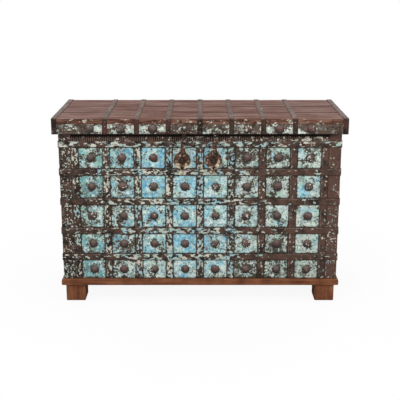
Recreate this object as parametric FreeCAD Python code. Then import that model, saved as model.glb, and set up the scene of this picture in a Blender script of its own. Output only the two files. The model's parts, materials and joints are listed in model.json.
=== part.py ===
import FreeCAD, Part
import math
import os

# An iron-bound console chest: plank walls on a plinth with block feet, a hinged plank lid with a lip on
# three sides, two hasps that hang from the lid, and a drop handle on each end. Sizes are in millimetres.
# +X is to the right, +Y to the back and +Z up. The origin is on the floor, under the middle of the
# overall box.

# Lid: planks that rest on the rim, and a lip below them at the front and the ends
LID_WIDTH = 1150.0
LID_DEPTH = 480.0
LID_OVERHANG = 21.5
LID_PLANK_THICKNESS = 20.0
LID_PLANK_DEPTH_SHARES = (0.335, 0.285, 0.380)
LIP_HEIGHT = 40.0
LIP_THICKNESS = 15.0
LID_PLANK_GAP = 0.8
LID_BATTEN_WIDTH = 60.0
LID_BATTEN_THICKNESS = 20.0
LID_BATTEN_INSET = 150.0
LID_BATTEN_CLEARANCE = 12.0

# Walls and floor
WALL_HEIGHT = 643.0
WALL_THICKNESS = 22.0
POST_SIZE = 45.0
POST_RIM_GAP = 4.0
FLOOR_THICKNESS = 20.0
FLOOR_PLANKS = 6

# Plinth and feet
PLINTH_THICKNESS = 28.0
PLINTH_RAIL_WIDTH = 80.0
PLINTH_PROJECTION = 12.0
PLINTH_NOSE_RADIUS = 7.0
FOOT_WIDTH = 78.0
FOOT_DEPTH = 90.0
FOOT_HEIGHT = 69.0
FOOT_INSET_X = 16.0
FOOT_INSET_Y = 10.0
FOOT_EDGE_CHAMFER = 3.0
DOWEL_RADIUS = 6.0
DOWEL_LENGTH = 46.0
DOWEL_TOP_COVER = 4.0
DOWEL_CLEARANCE = 0.2

# Iron straps, bands and corner angles on the walls
STRAP_WIDTH = 28.0
STRAP_THICKNESS = 2.5
BAND_HEIGHT = 28.0
BAND_THICKNESS = 2.5
BAND_RAMP = 5.0
RIM_BAND_HEIGHT = 26.0
CORNER_LEG = 45.5
FRIEZE_HEIGHT = 29.0
FRIEZE_THICKNESS = 4.0
LIP_GAP = 1.0
FRONT_COLUMNS = 8
END_COLUMNS = 3
ROW_HEIGHT_SHARES = (0.196, 0.215, 0.215, 0.192, 0.182)
BANDS_PER_PLANK = 2

# Studs: a petalled washer under a domed nail head
ROSETTE_RADIUS = 20.0
ROSETTE_VALLEY_SHARE = 0.88
ROSETTE_THICKNESS = 1.5
ROSETTE_PETALS = 5
NAIL_RADIUS = 17.0
NAIL_HEIGHT = 9.0
NAIL_SIDES = 7
NAIL_SHOULDER_RADIUS_SHARE = 0.74
NAIL_SHOULDER_HEIGHT_SHARE = 0.66

# Iron on the lid
LID_STRAP_WIDTH = 20.0
LID_STRAP_THICKNESS = 2.5
LID_STRAP_END_GAP = 1.0
EDGE_BAND_WIDTH = 18.0
EDGE_FLANGE_HEIGHT = 22.0

# Strap hinges: three of the lid straps end in an eye at the rim
STRAPS_PER_HINGE = 3
HINGE_EYE_RADIUS = 7.0
HINGE_GAP = 0.3
HINGE_PIN_RADIUS = 3.5
HINGE_PIN_CLEARANCE = 0.1
HINGE_PIN_HEAD_RADIUS = 5.5
HINGE_PIN_HEAD_LENGTH = 2.5
HINGE_SIDE_CLEARANCE = 0.5
HINGE_LID_EYE_WIDTH = 9.0
HINGE_LEAF_LENGTH = 150.0
HINGE_LEAF_TIP = 22.0
HINGE_LEAF_TIP_SHARE = 0.45

# Hasps: an eye on a bar in the lip, a neck, a ring and a spear tip
HASP_LEAN = -8.0
HASP_PIVOT_OUT = 14.0
HASP_PIVOT_UP = 7.0
HASP_THICKNESS = 5.0
HASP_EYE_RADIUS = 6.5
HASP_EYE_WIDTH = 16.0
HASP_RING_DROP = 110.0
HASP_RING_RADIUS = 34.0
HASP_HOLE_RADIUS = 16.0
HASP_NECK_WIDTH = 12.0
HASP_SHOULDER_WIDTH = 26.0
HASP_SHOULDER_RISE = 14.0
HASP_TIP_LENGTH = 26.0
HASP_TIP_WIDTH = 20.0
HASP_TIP_WAIST_SHARE = 0.45
HASP_BAR_RADIUS = 3.0
HASP_BAR_CLEARANCE = 0.3
HASP_BAR_BEND = 4.5
HASP_BAR_SIDE_GAP = 0.8
STAPLE_LEG_DEPTH = 10.0
STAPLE_HOLE_CLEARANCE = 0.2

# Staples in the front wall that the hasps close over
LOCK_STAPLE_RADIUS = 3.0
LOCK_STAPLE_BEND = 6.0
LOCK_STAPLE_SPAN = 18.0
LOCK_STAPLE_CLEARANCE = 1.5
LOCK_STAPLE_LIFT = 0.8
LOCK_STAPLE_DEPTH = 14.0
LOCK_ROW = 0
LOCK_COLUMNS = (FRONT_COLUMNS // 2 - 1, FRONT_COLUMNS // 2)

# Drop handles on the ends
HANDLE_ROW = 1
HANDLE_COLUMN = END_COLUMNS // 2
HANDLE_EYE_DOWN = 16.0
HANDLE_EYE_RADIUS = 9.0
HANDLE_EYE_WIDTH = 12.0
HANDLE_COLLAR_RADIUS = 13.0
HANDLE_COLLAR_THICKNESS = 2.0
HANDLE_SHANK_RADIUS = 4.5
HANDLE_SHANK_DEPTH = 14.0
HANDLE_WALL_CLEARANCE = 2.5
BAIL_RADIUS = 5.0
BAIL_BEND = 10.0
BAIL_CLEARANCE = 0.3
BAIL_SIDE_GAP = 1.0
BAIL_PIN_END = 4.0
BAIL_DROP = 60.0
BAIL_GRIP_RADIUS = 7.5
BAIL_GRIP_SHARE = 0.9

# Flats on a forged bar, on a boss or a collar, and round a ring
ROD_SIDES = 8
BOSS_SIDES = 12
RING_SIDES = 16

# One overrun serves every cut that goes right through
OVERRUN = 5.0

# Levels and faces that the sizes above set
FLOOR_Z = FOOT_HEIGHT + PLINTH_THICKNESS
RIM_Z = FLOOR_Z + WALL_HEIGHT
LID_TOP_Z = RIM_Z + LID_PLANK_THICKNESS
LIP_BOTTOM_Z = RIM_Z - LIP_HEIGHT
IRON_TOP_Z = LIP_BOTTOM_Z - LIP_GAP
RIM_BAND_TOP_Z = IRON_TOP_Z - FRIEZE_HEIGHT
FIELD_TOP_Z = RIM_BAND_TOP_Z - RIM_BAND_HEIGHT
BODY_WIDTH = LID_WIDTH - 2 * LID_OVERHANG
BODY_DEPTH = LID_DEPTH - LID_OVERHANG
FRONT_REACH = HASP_PIVOT_OUT + HASP_EYE_RADIUS
HINGE_OUT = HINGE_EYE_RADIUS + HINGE_GAP
BACK_REACH = HINGE_OUT + HINGE_EYE_RADIUS
LID_FRONT_Y = FRONT_REACH - (FRONT_REACH + LID_DEPTH + BACK_REACH) / 2
BACK_Y = LID_FRONT_Y + LID_DEPTH
BODY_FRONT_Y = LID_FRONT_Y + LID_OVERHANG
BODY_MID_Y = (BODY_FRONT_Y + BACK_Y) / 2
HALF_WIDTH = BODY_WIDTH / 2
STUD_HEIGHT = ROSETTE_THICKNESS + NAIL_HEIGHT
X_AXIS = FreeCAD.Vector(1, 0, 0)
Y_AXIS = FreeCAD.Vector(0, 1, 0)
Z_AXIS = FreeCAD.Vector(0, 0, 1)
ORIGIN = FreeCAD.Vector(0, 0, 0)


def vec(x, y, z):
    return FreeCAD.Vector(x, y, z)


def block(x, y, z):
    """A box from a (low, high) pair for each axis."""
    return Part.makeBox(x[1] - x[0], y[1] - y[0], z[1] - z[0], vec(x[0], y[0], z[0]))


def facet(*points):
    """The flat face inside the closed outline through the points."""
    return Part.Face(Part.makePolygon([*points, points[0]]))


def prism(points, push):
    """The closed outline through the points, pushed into a solid."""
    return facet(*points).extrude(push)


def rod(start, end, radius):
    """A round bar between two points."""
    return Part.makeCylinder(radius, end.sub(start).Length, start, end.sub(start))


def flats(start, end, radius, sides):
    """A bar between two points along an axis, with that many flats inside the radius."""
    along = end.sub(start)
    upright = Z_AXIS if along.x or along.y else X_AXIS
    across = upright.cross(along).normalize()
    corners = []
    for i in range(sides):
        angle = 2 * math.pi * (i + 1 / 2) / sides
        spoke = FreeCAD.Vector(across).multiply(radius * math.cos(angle))
        rise = FreeCAD.Vector(upright).multiply(radius * math.sin(angle))
        corners.append(start.add(spoke).add(rise))
    return prism(corners, along)


def flat_hole(start, end, radius, sides):
    """The cutter for a hole with that many flats outside the radius."""
    return flats(start, end, radius / math.cos(math.pi / sides), sides)


def polyhedron(rings, tip=None):
    """A closed solid through rings of points, one after the other, and up to a tip if there is one."""
    count = len(rings[0])
    turns = [(i, (i + 1) % count) for i in range(count)]
    faces = [facet(*rings[0])]
    for low, high in zip(rings, rings[1:]):
        faces += [facet(low[i], low[j], high[j], high[i]) for i, j in turns]
    if tip:
        faces += [facet(rings[-1][i], rings[-1][j], tip) for i, j in turns]
    else:
        faces.append(facet(*rings[-1]))
    return Part.makeSolid(Part.makeShell(faces))


def eased_path(points, bend):
    """The path through the points with each inner corner cut in two, as for a bend of that radius."""
    cut = bend * (2 - math.sqrt(2))
    path = [points[0]]
    for before, turn, after in zip(points, points[1:], points[2:]):
        path.append(turn.add(before.sub(turn).normalize().multiply(cut)))
        path.append(turn.add(after.sub(turn).normalize().multiply(cut)))
    return [*path, points[-1]]


def forged_rod(path, radii, normal):
    """A many-sided bar along a path in the plane with that normal, with a radius for each point."""
    sides = []
    for start, end in zip(path, path[1:]):
        sides.append(normal.cross(end.sub(start)).normalize())
    sides = [sides[0], *sides, sides[-1]]
    rings = []
    for point, radius, before, after in zip(path, radii, sides, sides[1:]):
        across = before.add(after).multiply(radius / (1 + before.dot(after)))
        ring = []
        for i in range(ROD_SIDES):
            angle = 2 * math.pi * (i + 1 / 2) / ROD_SIDES
            spoke = FreeCAD.Vector(across).multiply(math.cos(angle))
            rise = FreeCAD.Vector(normal).multiply(radius * math.sin(angle))
            ring.append(point.add(spoke).add(rise))
        rings.append(ring)
    return polyhedron(rings)


def bent_rod(points, radius, bend, normal):
    """A bar of one radius through the points, with its turns eased."""
    path = eased_path(points, bend)
    return forged_rod(path, [radius] * len(path), normal)


def mirrored(shape):
    """The shape's twin on the other side of the chest."""
    return shape.mirror(ORIGIN, X_AXIS)


def save(name, *solids):
    """Writes one node: a single solid, or a group of separate ones."""
    shape = solids[0] if len(solids) == 1 else Part.makeCompound(list(solids))
    shape.exportStep(os.path.join("parts", name + ".step"))


def row_spans():
    """The (low, high) heights of each row of squares, the top row first."""
    open_height = FIELD_TOP_Z - FLOOR_Z - (len(ROW_HEIGHT_SHARES) - 1) * BAND_HEIGHT
    spans = []
    top = FIELD_TOP_Z
    for share in ROW_HEIGHT_SHARES:
        spans.append((top - share * open_height, top))
        top = spans[-1][0] - BAND_HEIGHT
    return spans


def band_spans():
    """The (low, high) heights of the bands between the rows."""
    rows = row_spans()
    return [(below[1], above[0]) for above, below in zip(rows, rows[1:])]


def column_spans(length, count):
    """The (low, high) places of the squares along a wall, from its middle."""
    edge = CORNER_LEG + STRAP_WIDTH
    width = (length - 2 * edge - (count - 1) * STRAP_WIDTH) / count
    lows = [edge - length / 2 + i * (width + STRAP_WIDTH) for i in range(count)]
    return [(low, low + width) for low in lows]


def strap_spans(length, count):
    """The (low, high) places of the upright straps along a wall, from its middle."""
    squares = column_spans(length, count)
    lows = [squares[0][0] - STRAP_WIDTH] + [high for _, high in squares]
    return [(low, low + STRAP_WIDTH) for low in lows]


def middle(span):
    return (span[0] + span[1]) / 2


FRONT_SQUARES = column_spans(BODY_WIDTH, FRONT_COLUMNS)
END_SQUARES = column_spans(BODY_DEPTH, END_COLUMNS)
ROWS = row_spans()
LID_STRAP_MIDDLES = [middle(s) for s in strap_spans(BODY_WIDTH, FRONT_COLUMNS)[1:-1]]
HASP_MIDDLES = [middle(FRONT_SQUARES[i]) for i in LOCK_COLUMNS]
LOCK_MIDDLES = [x + HASP_LEAN for x in HASP_MIDDLES]
HASP_Y = LID_FRONT_Y - HASP_PIVOT_OUT
HASP_Z = LIP_BOTTOM_Z + HASP_PIVOT_UP
HASP_BAR_REACH = HASP_EYE_WIDTH / 2 + HASP_BAR_SIDE_GAP + HASP_BAR_BEND
LOCK_Z = HASP_Z - HASP_RING_DROP + LOCK_STAPLE_LIFT
LOCK_TIP_Y = HASP_Y + HASP_THICKNESS / 2 + LOCK_STAPLE_CLEARANCE + LOCK_STAPLE_RADIUS
HANDLE_OUT = STRAP_THICKNESS + BAND_THICKNESS + HANDLE_WALL_CLEARANCE + BAIL_GRIP_RADIUS
HANDLE_X = HALF_WIDTH + HANDLE_OUT
HANDLE_Z = ROWS[HANDLE_ROW][1] - HANDLE_EYE_DOWN
HANDLE_EYE_SHIFT = middle((END_SQUARES[HANDLE_COLUMN][1], END_SQUARES[HANDLE_COLUMN][1] + STRAP_WIDTH))


def staple_holes():
    """The cutters for what is driven into the walls and the lip."""
    radius = LOCK_STAPLE_RADIUS + STAPLE_HOLE_CLEARANCE
    deep = BODY_FRONT_Y + LOCK_STAPLE_DEPTH + STAPLE_HOLE_CLEARANCE
    lock = []
    for x in LOCK_MIDDLES:
        for side in (-1, 1):
            z = LOCK_Z + side * LOCK_STAPLE_SPAN / 2
            lock.append(flats(vec(x, BODY_FRONT_Y - OVERRUN, z), vec(x, deep, z), radius, ROD_SIDES))
    radius = HASP_BAR_RADIUS + STAPLE_HOLE_CLEARANCE
    deep = LID_FRONT_Y + STAPLE_LEG_DEPTH + STAPLE_HOLE_CLEARANCE
    lip = []
    for x in HASP_MIDDLES:
        for side in (-1, 1):
            leg = x + side * HASP_BAR_REACH
            mouth = vec(leg, LID_FRONT_Y - OVERRUN, HASP_Z)
            lip.append(flats(mouth, vec(leg, deep, HASP_Z), radius, ROD_SIDES))
    radius = HANDLE_SHANK_RADIUS + STAPLE_HOLE_CLEARANCE
    deep = HALF_WIDTH - HANDLE_SHANK_DEPTH - STAPLE_HOLE_CLEARANCE
    end = []
    for side in (-1, 1):
        y = BODY_MID_Y + side * HANDLE_EYE_SHIFT
        end.append(flats(vec(HANDLE_X, y, HANDLE_Z), vec(deep, y, HANDLE_Z), radius, ROD_SIDES))
    return lock, lip, end


LOCK_HOLES, LIP_HOLES, HANDLE_HOLES = staple_holes()


def with_holes(solid, holes):
    """The solid with those of the holes that reach it cut out."""
    near = [h for h in holes if h.BoundBox.intersect(solid.BoundBox)]
    return solid.cut(Part.makeCompound(near)) if near else solid


def wall_planks(x, y, holes=()):
    """One wall as planks whose joints lie under the bands."""
    joints = [middle(span) for span in band_spans()[::BANDS_PER_PLANK]]
    levels = [RIM_Z, *joints, FLOOR_Z]
    planks = [block(x, y, (low, high)) for high, low in zip(levels, levels[1:])]
    return [with_holes(plank, holes) for plank in planks]


def make_walls():
    across = (-HALF_WIDTH, HALF_WIDTH)
    inner_y = (BODY_FRONT_Y + WALL_THICKNESS, BACK_Y - WALL_THICKNESS)
    save("front_planks", *wall_planks(across, (BODY_FRONT_Y, inner_y[0]), LOCK_HOLES))
    save("back_planks", *wall_planks(across, (inner_y[1], BACK_Y)))
    right = wall_planks((HALF_WIDTH - WALL_THICKNESS, HALF_WIDTH), inner_y, HANDLE_HOLES)
    save("right_end_planks", *right)
    save("left_end_planks", *[mirrored(p) for p in right])


def make_posts_and_floor():
    inner_x = HALF_WIDTH - WALL_THICKNESS
    inner_y = (BODY_FRONT_Y + WALL_THICKNESS, BACK_Y - WALL_THICKNESS)
    height = (FLOOR_Z + FLOOR_THICKNESS, RIM_Z - POST_RIM_GAP)
    posts = []
    for y in ((inner_y[0], inner_y[0] + POST_SIZE), (inner_y[1] - POST_SIZE, inner_y[1])):
        post = block((inner_x - POST_SIZE, inner_x), y, height)
        posts += [post, mirrored(post)]
    save("corner_posts", *posts)
    width = 2 * inner_x / FLOOR_PLANKS
    lows = [i * width - inner_x for i in range(FLOOR_PLANKS)]
    level = (FLOOR_Z, FLOOR_Z + FLOOR_THICKNESS)
    save("floor_planks", *[block((low, low + width), inner_y, level) for low in lows])


def plinth_rail(length, half_mitre_start, half_mitre_end):
    """A rail along X with its nosed edge at Y zero and its mitred ends on the corner lines."""
    top = PLINTH_THICKNESS
    nose = PLINTH_NOSE_RADIUS
    bend = nose * (1 - math.cos(math.pi / 4))
    upper = Part.Arc(vec(0, 0, top - nose), vec(0, bend, top - bend), vec(0, nose, top))
    lower = Part.Arc(vec(0, nose, 0), vec(0, bend, bend), vec(0, 0, nose))
    back = PLINTH_RAIL_WIDTH
    edges = [
        upper.toShape(),
        Part.LineSegment(vec(0, nose, top), vec(0, back, top)).toShape(),
        Part.LineSegment(vec(0, back, top), vec(0, back, 0)).toShape(),
        Part.LineSegment(vec(0, back, 0), vec(0, nose, 0)).toShape(),
        lower.toShape(),
        Part.LineSegment(vec(0, 0, nose), vec(0, 0, top - nose)).toShape(),
    ]
    rail = Part.Face(Part.Wire(edges)).extrude(vec(length, 0, 0))
    corners = [
        vec(half_mitre_start, 0, 0),
        vec(half_mitre_start + back, back, 0),
        vec(length - half_mitre_end - back, back, 0),
        vec(length - half_mitre_end, 0, 0),
    ]
    return rail.common(prism(corners, vec(0, 0, top)))


def make_plinth():
    half = HALF_WIDTH + PLINTH_PROJECTION
    front = BODY_FRONT_Y - PLINTH_PROJECTION
    depth = BACK_Y - front
    dowels = []
    holes = []
    feet_y = (front + FOOT_INSET_Y, BACK_Y - FOOT_INSET_Y - FOOT_DEPTH)
    foot_x = half - FOOT_INSET_X - FOOT_WIDTH
    top = FLOOR_Z - DOWEL_TOP_COVER
    for low_y in feet_y:
        for side in (-1, 1):
            at = vec(side * (foot_x + FOOT_WIDTH / 2), low_y + FOOT_DEPTH / 2, top)
            down = vec(at.x, at.y, top - DOWEL_LENGTH)
            grow = vec(0, 0, DOWEL_CLEARANCE)
            dowels.append(flats(at, down, DOWEL_RADIUS, ROD_SIDES))
            hole_radius = DOWEL_RADIUS + DOWEL_CLEARANCE
            holes.append(flats(at.add(grow), down.sub(grow), hole_radius, ROD_SIDES))
    long_rail = plinth_rail(2 * half, 0, 0)
    short_rail = plinth_rail(depth, 0, 0)
    places = {
        "plinth_front_rail": (long_rail, 0, vec(-half, front, FOOT_HEIGHT)),
        "plinth_right_rail": (short_rail, 90, vec(half, front, FOOT_HEIGHT)),
        "plinth_back_rail": (long_rail, 180, vec(half, BACK_Y, FOOT_HEIGHT)),
        "plinth_left_rail": (short_rail, 270, vec(-half, BACK_Y, FOOT_HEIGHT)),
    }
    for name, (rail, turn, at) in places.items():
        placed = rail.copy()
        placed.rotate(ORIGIN, Z_AXIS, turn)
        placed.translate(at)
        save(name, with_holes(placed, holes))
    save("foot_dowels", *dowels)
    for row, low_y in zip(("front", "back"), feet_y):
        foot = block((foot_x, foot_x + FOOT_WIDTH), (low_y, low_y + FOOT_DEPTH), (0, FOOT_HEIGHT))
        upright = [e for e in foot.Edges if e.BoundBox.ZLength > FOOT_HEIGHT / 2]
        foot = foot.makeChamfer(FOOT_EDGE_CHAMFER, upright)
        save(f"foot_{row}_right", with_holes(foot, holes))
        save(f"foot_{row}_left", with_holes(mirrored(foot), holes))


def make_upright_straps():
    height = (FLOOR_Z, RIM_BAND_TOP_Z)
    front_y = (BODY_FRONT_Y - STRAP_THICKNESS, BODY_FRONT_Y)
    front = [block(span, front_y, height) for span in strap_spans(BODY_WIDTH, FRONT_COLUMNS)]
    save("front_upright_straps", *front)
    right = []
    for low, high in strap_spans(BODY_DEPTH, END_COLUMNS):
        across = (BODY_MID_Y + low, BODY_MID_Y + high)
        strap = block((HALF_WIDTH, HALF_WIDTH + STRAP_THICKNESS), across, height)
        right.append(with_holes(strap, HANDLE_HOLES))
    save("right_end_upright_straps", *right)
    save("left_end_upright_straps", *[mirrored(s) for s in right])


def band_line(lift):
    """One face of a band, from the back left corner round the front to the back right corner.

    The band lies on the planks in the squares and steps over each upright strap and corner angle.
    """
    over = STRAP_THICKNESS + lift

    def steps(squares):
        line = []
        for low, high in squares:
            line += [(low, over), (low + BAND_RAMP, lift), (high - BAND_RAMP, lift), (high, over)]
        return line

    ends = steps(END_SQUARES)
    left_corner = -HALF_WIDTH - over
    right_corner = HALF_WIDTH + over
    line = [vec(CORNER_LEG - HALF_WIDTH, BACK_Y + over, 0), vec(left_corner, BACK_Y + over, 0)]
    line += [vec(-HALF_WIDTH - level, BODY_MID_Y - along, 0) for along, level in ends]
    line.append(vec(left_corner, BODY_FRONT_Y - over, 0))
    line += [vec(along, BODY_FRONT_Y - level, 0) for along, level in steps(FRONT_SQUARES)]
    line.append(vec(right_corner, BODY_FRONT_Y - over, 0))
    line += [vec(HALF_WIDTH + level, BODY_MID_Y + along, 0) for along, level in ends]
    line += [vec(right_corner, BACK_Y + over, 0), vec(HALF_WIDTH - CORNER_LEG, BACK_Y + over, 0)]
    return line


def make_bands():
    outline = band_line(0) + band_line(BAND_THICKNESS)[::-1]
    spans = [(FIELD_TOP_Z, RIM_BAND_TOP_Z), *band_spans()]
    names = ["rim_band"] + [f"girth_band_{i + 1}" for i in range(len(spans) - 1)]
    for name, (low, high) in zip(names, spans):
        band = prism(outline, vec(0, 0, high - low))
        band.translate(vec(0, 0, low))
        save(name, band)


def make_corner_angles():
    for row, y, inward in (("front", BODY_FRONT_Y, 1), ("back", BACK_Y, -1)):
        skin_y = y - inward * STRAP_THICKNESS
        skin_x = HALF_WIDTH + STRAP_THICKNESS
        outline = [
            vec(HALF_WIDTH, y, FLOOR_Z),
            vec(HALF_WIDTH - CORNER_LEG, y, FLOOR_Z),
            vec(HALF_WIDTH - CORNER_LEG, skin_y, FLOOR_Z),
            vec(skin_x, skin_y, FLOOR_Z),
            vec(skin_x, y + inward * CORNER_LEG, FLOOR_Z),
            vec(HALF_WIDTH, y + inward * CORNER_LEG, FLOOR_Z),
        ]
        angle = prism(outline, vec(0, 0, IRON_TOP_Z - FLOOR_Z))
        save(f"corner_angle_{row}_right", angle)
        save(f"corner_angle_{row}_left", mirrored(angle))


def make_frieze():
    """The strip under the lid, between the corner angles of the front and the ends."""
    level = (RIM_BAND_TOP_Z, IRON_TOP_Z)
    reach = HALF_WIDTH - CORNER_LEG
    front = block((-reach, reach), (BODY_FRONT_Y - FRIEZE_THICKNESS, BODY_FRONT_Y), level)
    along = (BODY_FRONT_Y + CORNER_LEG, BACK_Y - CORNER_LEG)
    right = block((HALF_WIDTH, HALF_WIDTH + FRIEZE_THICKNESS), along, level)
    save("frieze_strips", front, right, mirrored(right))


def ring_points(radii, height):
    """Points round the Z axis, one for each radius."""
    turn = 2 * math.pi / len(radii)
    return [vec(r * math.cos(i * turn), r * math.sin(i * turn), height) for i, r in enumerate(radii)]


def make_stud():
    """A rosette and its nail head, standing on the XY plane."""
    petal = [ROSETTE_RADIUS, ROSETTE_RADIUS * ROSETTE_VALLEY_SHARE] * ROSETTE_PETALS
    rosette = polyhedron([ring_points(petal, 0), ring_points(petal, ROSETTE_THICKNESS)])
    shoulder = ROSETTE_THICKNESS + NAIL_HEIGHT * NAIL_SHOULDER_HEIGHT_SHARE
    rim = ring_points([NAIL_RADIUS] * NAIL_SIDES, ROSETTE_THICKNESS)
    upper = ring_points([NAIL_RADIUS * NAIL_SHOULDER_RADIUS_SHARE] * NAIL_SIDES, shoulder)
    return rosette, polyhedron([rim, upper], vec(0, 0, STUD_HEIGHT))


STUD = make_stud()


def studs_at(places, axis, turn):
    """Studs at the places, turned from upright to face the way they stand out."""
    out = []
    for place in places:
        for piece in STUD:
            copy = piece.copy()
            copy.rotate(ORIGIN, axis, turn)
            copy.translate(place)
            out.append(copy)
    return out


def make_studs():
    locked = [(LOCK_ROW, column) for column in LOCK_COLUMNS]
    front = [
        vec(middle(square), BODY_FRONT_Y, middle(row))
        for i, row in enumerate(ROWS)
        for j, square in enumerate(FRONT_SQUARES)
        if (i, j) not in locked
    ]
    save("front_studs", *studs_at(front, X_AXIS, 90))
    end = [
        vec(HALF_WIDTH, BODY_MID_Y + middle(square), middle(row))
        for i, row in enumerate(ROWS)
        for j, square in enumerate(END_SQUARES)
        if (i, j) != (HANDLE_ROW, HANDLE_COLUMN)
    ]
    right = studs_at(end, Y_AXIS, 90)
    save("right_end_studs", *right)
    save("left_end_studs", *[mirrored(s) for s in right])
    lip_z = middle((LIP_BOTTOM_Z, RIM_Z))
    lid_front = [
        vec(middle(square), LID_FRONT_Y, lip_z)
        for j, square in enumerate(FRONT_SQUARES)
        if j not in LOCK_COLUMNS
    ]
    save("lid_studs", *studs_at(lid_front, X_AXIS, 90))


def make_lid_wood():
    half = LID_WIDTH / 2
    low = LID_FRONT_Y
    for name, share in zip(("front", "middle", "back"), LID_PLANK_DEPTH_SHARES):
        high = low + share * (LID_DEPTH - 2 * LID_PLANK_GAP)
        save(f"lid_{name}_plank", block((-half, half), (low, high), (RIM_Z, LID_TOP_Z)))
        low = high + LID_PLANK_GAP
    level = (LIP_BOTTOM_Z, RIM_Z)
    lip_back = LID_FRONT_Y + LIP_THICKNESS
    lip = block((-half, half), (LID_FRONT_Y, lip_back), level)
    save("lid_front_lip", with_holes(lip, LIP_HOLES))
    end_lip = block((half - LIP_THICKNESS, half), (lip_back, BACK_Y), level)
    save("lid_right_lip", end_lip)
    save("lid_left_lip", mirrored(end_lip))
    inset = WALL_THICKNESS + LID_BATTEN_CLEARANCE
    outer = HALF_WIDTH - LID_BATTEN_INSET
    batten = block(
        (outer - LID_BATTEN_WIDTH, outer),
        (BODY_FRONT_Y + inset, BACK_Y - inset),
        (RIM_Z - LID_BATTEN_THICKNESS, RIM_Z),
    )
    save("lid_battens", batten, mirrored(batten))


def lid_strap(low_x, high_x, back_end_z):
    """A strap bent over the lid, from the bottom of the front lip to a level behind the back plank."""
    skin = LID_STRAP_THICKNESS
    outline = [
        vec(low_x, LID_FRONT_Y, LIP_BOTTOM_Z),
        vec(low_x, LID_FRONT_Y - skin, LIP_BOTTOM_Z),
        vec(low_x, LID_FRONT_Y - skin, LID_TOP_Z + skin),
        vec(low_x, BACK_Y + skin, LID_TOP_Z + skin),
        vec(low_x, BACK_Y + skin, back_end_z),
        vec(low_x, BACK_Y, back_end_z),
        vec(low_x, BACK_Y, LID_TOP_Z),
        vec(low_x, LID_FRONT_Y, LID_TOP_Z),
    ]
    return prism(outline, vec(high_x - low_x, 0, 0))


def hinge_bore_line(x):
    """The ends and the radius of the bore through a hinge's eyes."""
    reach = LID_STRAP_WIDTH / 2 + OVERRUN
    y = BACK_Y + HINGE_OUT
    return vec(x - reach, y, RIM_Z), vec(x + reach, y, RIM_Z), HINGE_PIN_RADIUS + HINGE_PIN_CLEARANCE


def hinge_eye(low_x, high_x):
    y = BACK_Y + HINGE_OUT
    return flats(vec(low_x, y, RIM_Z), vec(high_x, y, RIM_Z), HINGE_EYE_RADIUS, BOSS_SIDES)


def hinge_lid_strap(x):
    """A lid strap whose back end is rolled into the hinge's middle eye."""
    half = LID_STRAP_WIDTH / 2
    eye = HINGE_LID_EYE_WIDTH / 2
    shoulder = RIM_Z + HINGE_EYE_RADIUS + HINGE_SIDE_CLEARANCE
    tongue = block((x - eye, x + eye), (BACK_Y, BACK_Y + LID_STRAP_THICKNESS), (RIM_Z, shoulder))
    strap = lid_strap(x - half, x + half, shoulder).fuse([tongue, hinge_eye(x - eye, x + eye)])
    return strap.cut(rod(*hinge_bore_line(x))).removeSplitter()


def hinge_body_leaf(x):
    """The leaf on the back wall, with an eye on each side of the lid strap's eye."""
    half = LID_STRAP_WIDTH / 2
    inner = HINGE_LID_EYE_WIDTH / 2 + HINGE_SIDE_CLEARANCE
    shoulder = RIM_Z - HINGE_EYE_RADIUS - HINGE_SIDE_CLEARANCE
    bottom = RIM_Z - HINGE_LEAF_LENGTH
    tip = half * HINGE_LEAF_TIP_SHARE
    outline = [
        vec(x - half, BACK_Y, shoulder),
        vec(x - half, BACK_Y, bottom + HINGE_LEAF_TIP),
        vec(x - tip, BACK_Y, bottom),
        vec(x + tip, BACK_Y, bottom),
        vec(x + half, BACK_Y, bottom + HINGE_LEAF_TIP),
        vec(x + half, BACK_Y, shoulder),
    ]
    leaf = prism(outline, vec(0, LID_STRAP_THICKNESS, 0))
    for low, high in ((x - half, x - inner), (x + inner, x + half)):
        tongue = block((low, high), (BACK_Y, BACK_Y + LID_STRAP_THICKNESS), (shoulder, RIM_Z))
        leaf = leaf.fuse([tongue, hinge_eye(low, high)])
    return leaf.cut(flat_hole(*hinge_bore_line(x), BOSS_SIDES)).removeSplitter()


def hinge_pin(x):
    half = LID_STRAP_WIDTH / 2
    y = BACK_Y + HINGE_OUT
    pin = rod(vec(x - half, y, RIM_Z), vec(x + half, y, RIM_Z), HINGE_PIN_RADIUS)
    for side in (-1, 1):
        face = vec(x + side * half, y, RIM_Z)
        end = vec(x + side * (half + HINGE_PIN_HEAD_LENGTH), y, RIM_Z)
        pin = pin.fuse(flats(face, end, HINGE_PIN_HEAD_RADIUS, ROD_SIDES))
    return pin.removeSplitter()


def make_lid_straps_and_hinges():
    half = LID_STRAP_WIDTH / 2
    end_z = RIM_Z + LID_STRAP_END_GAP
    hinges = LID_STRAP_MIDDLES[::STRAPS_PER_HINGE]
    plain = [x for x in LID_STRAP_MIDDLES if x not in hinges]
    save("lid_cross_straps", *[lid_strap(x - half, x + half, end_z) for x in plain])
    for name, x in zip(("left", "middle", "right"), hinges):
        save(f"hinge_lid_strap_{name}", hinge_lid_strap(x))
        save(f"hinge_body_leaf_{name}", hinge_body_leaf(x))
    save("hinge_pins", *[hinge_pin(x) for x in hinges])


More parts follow.
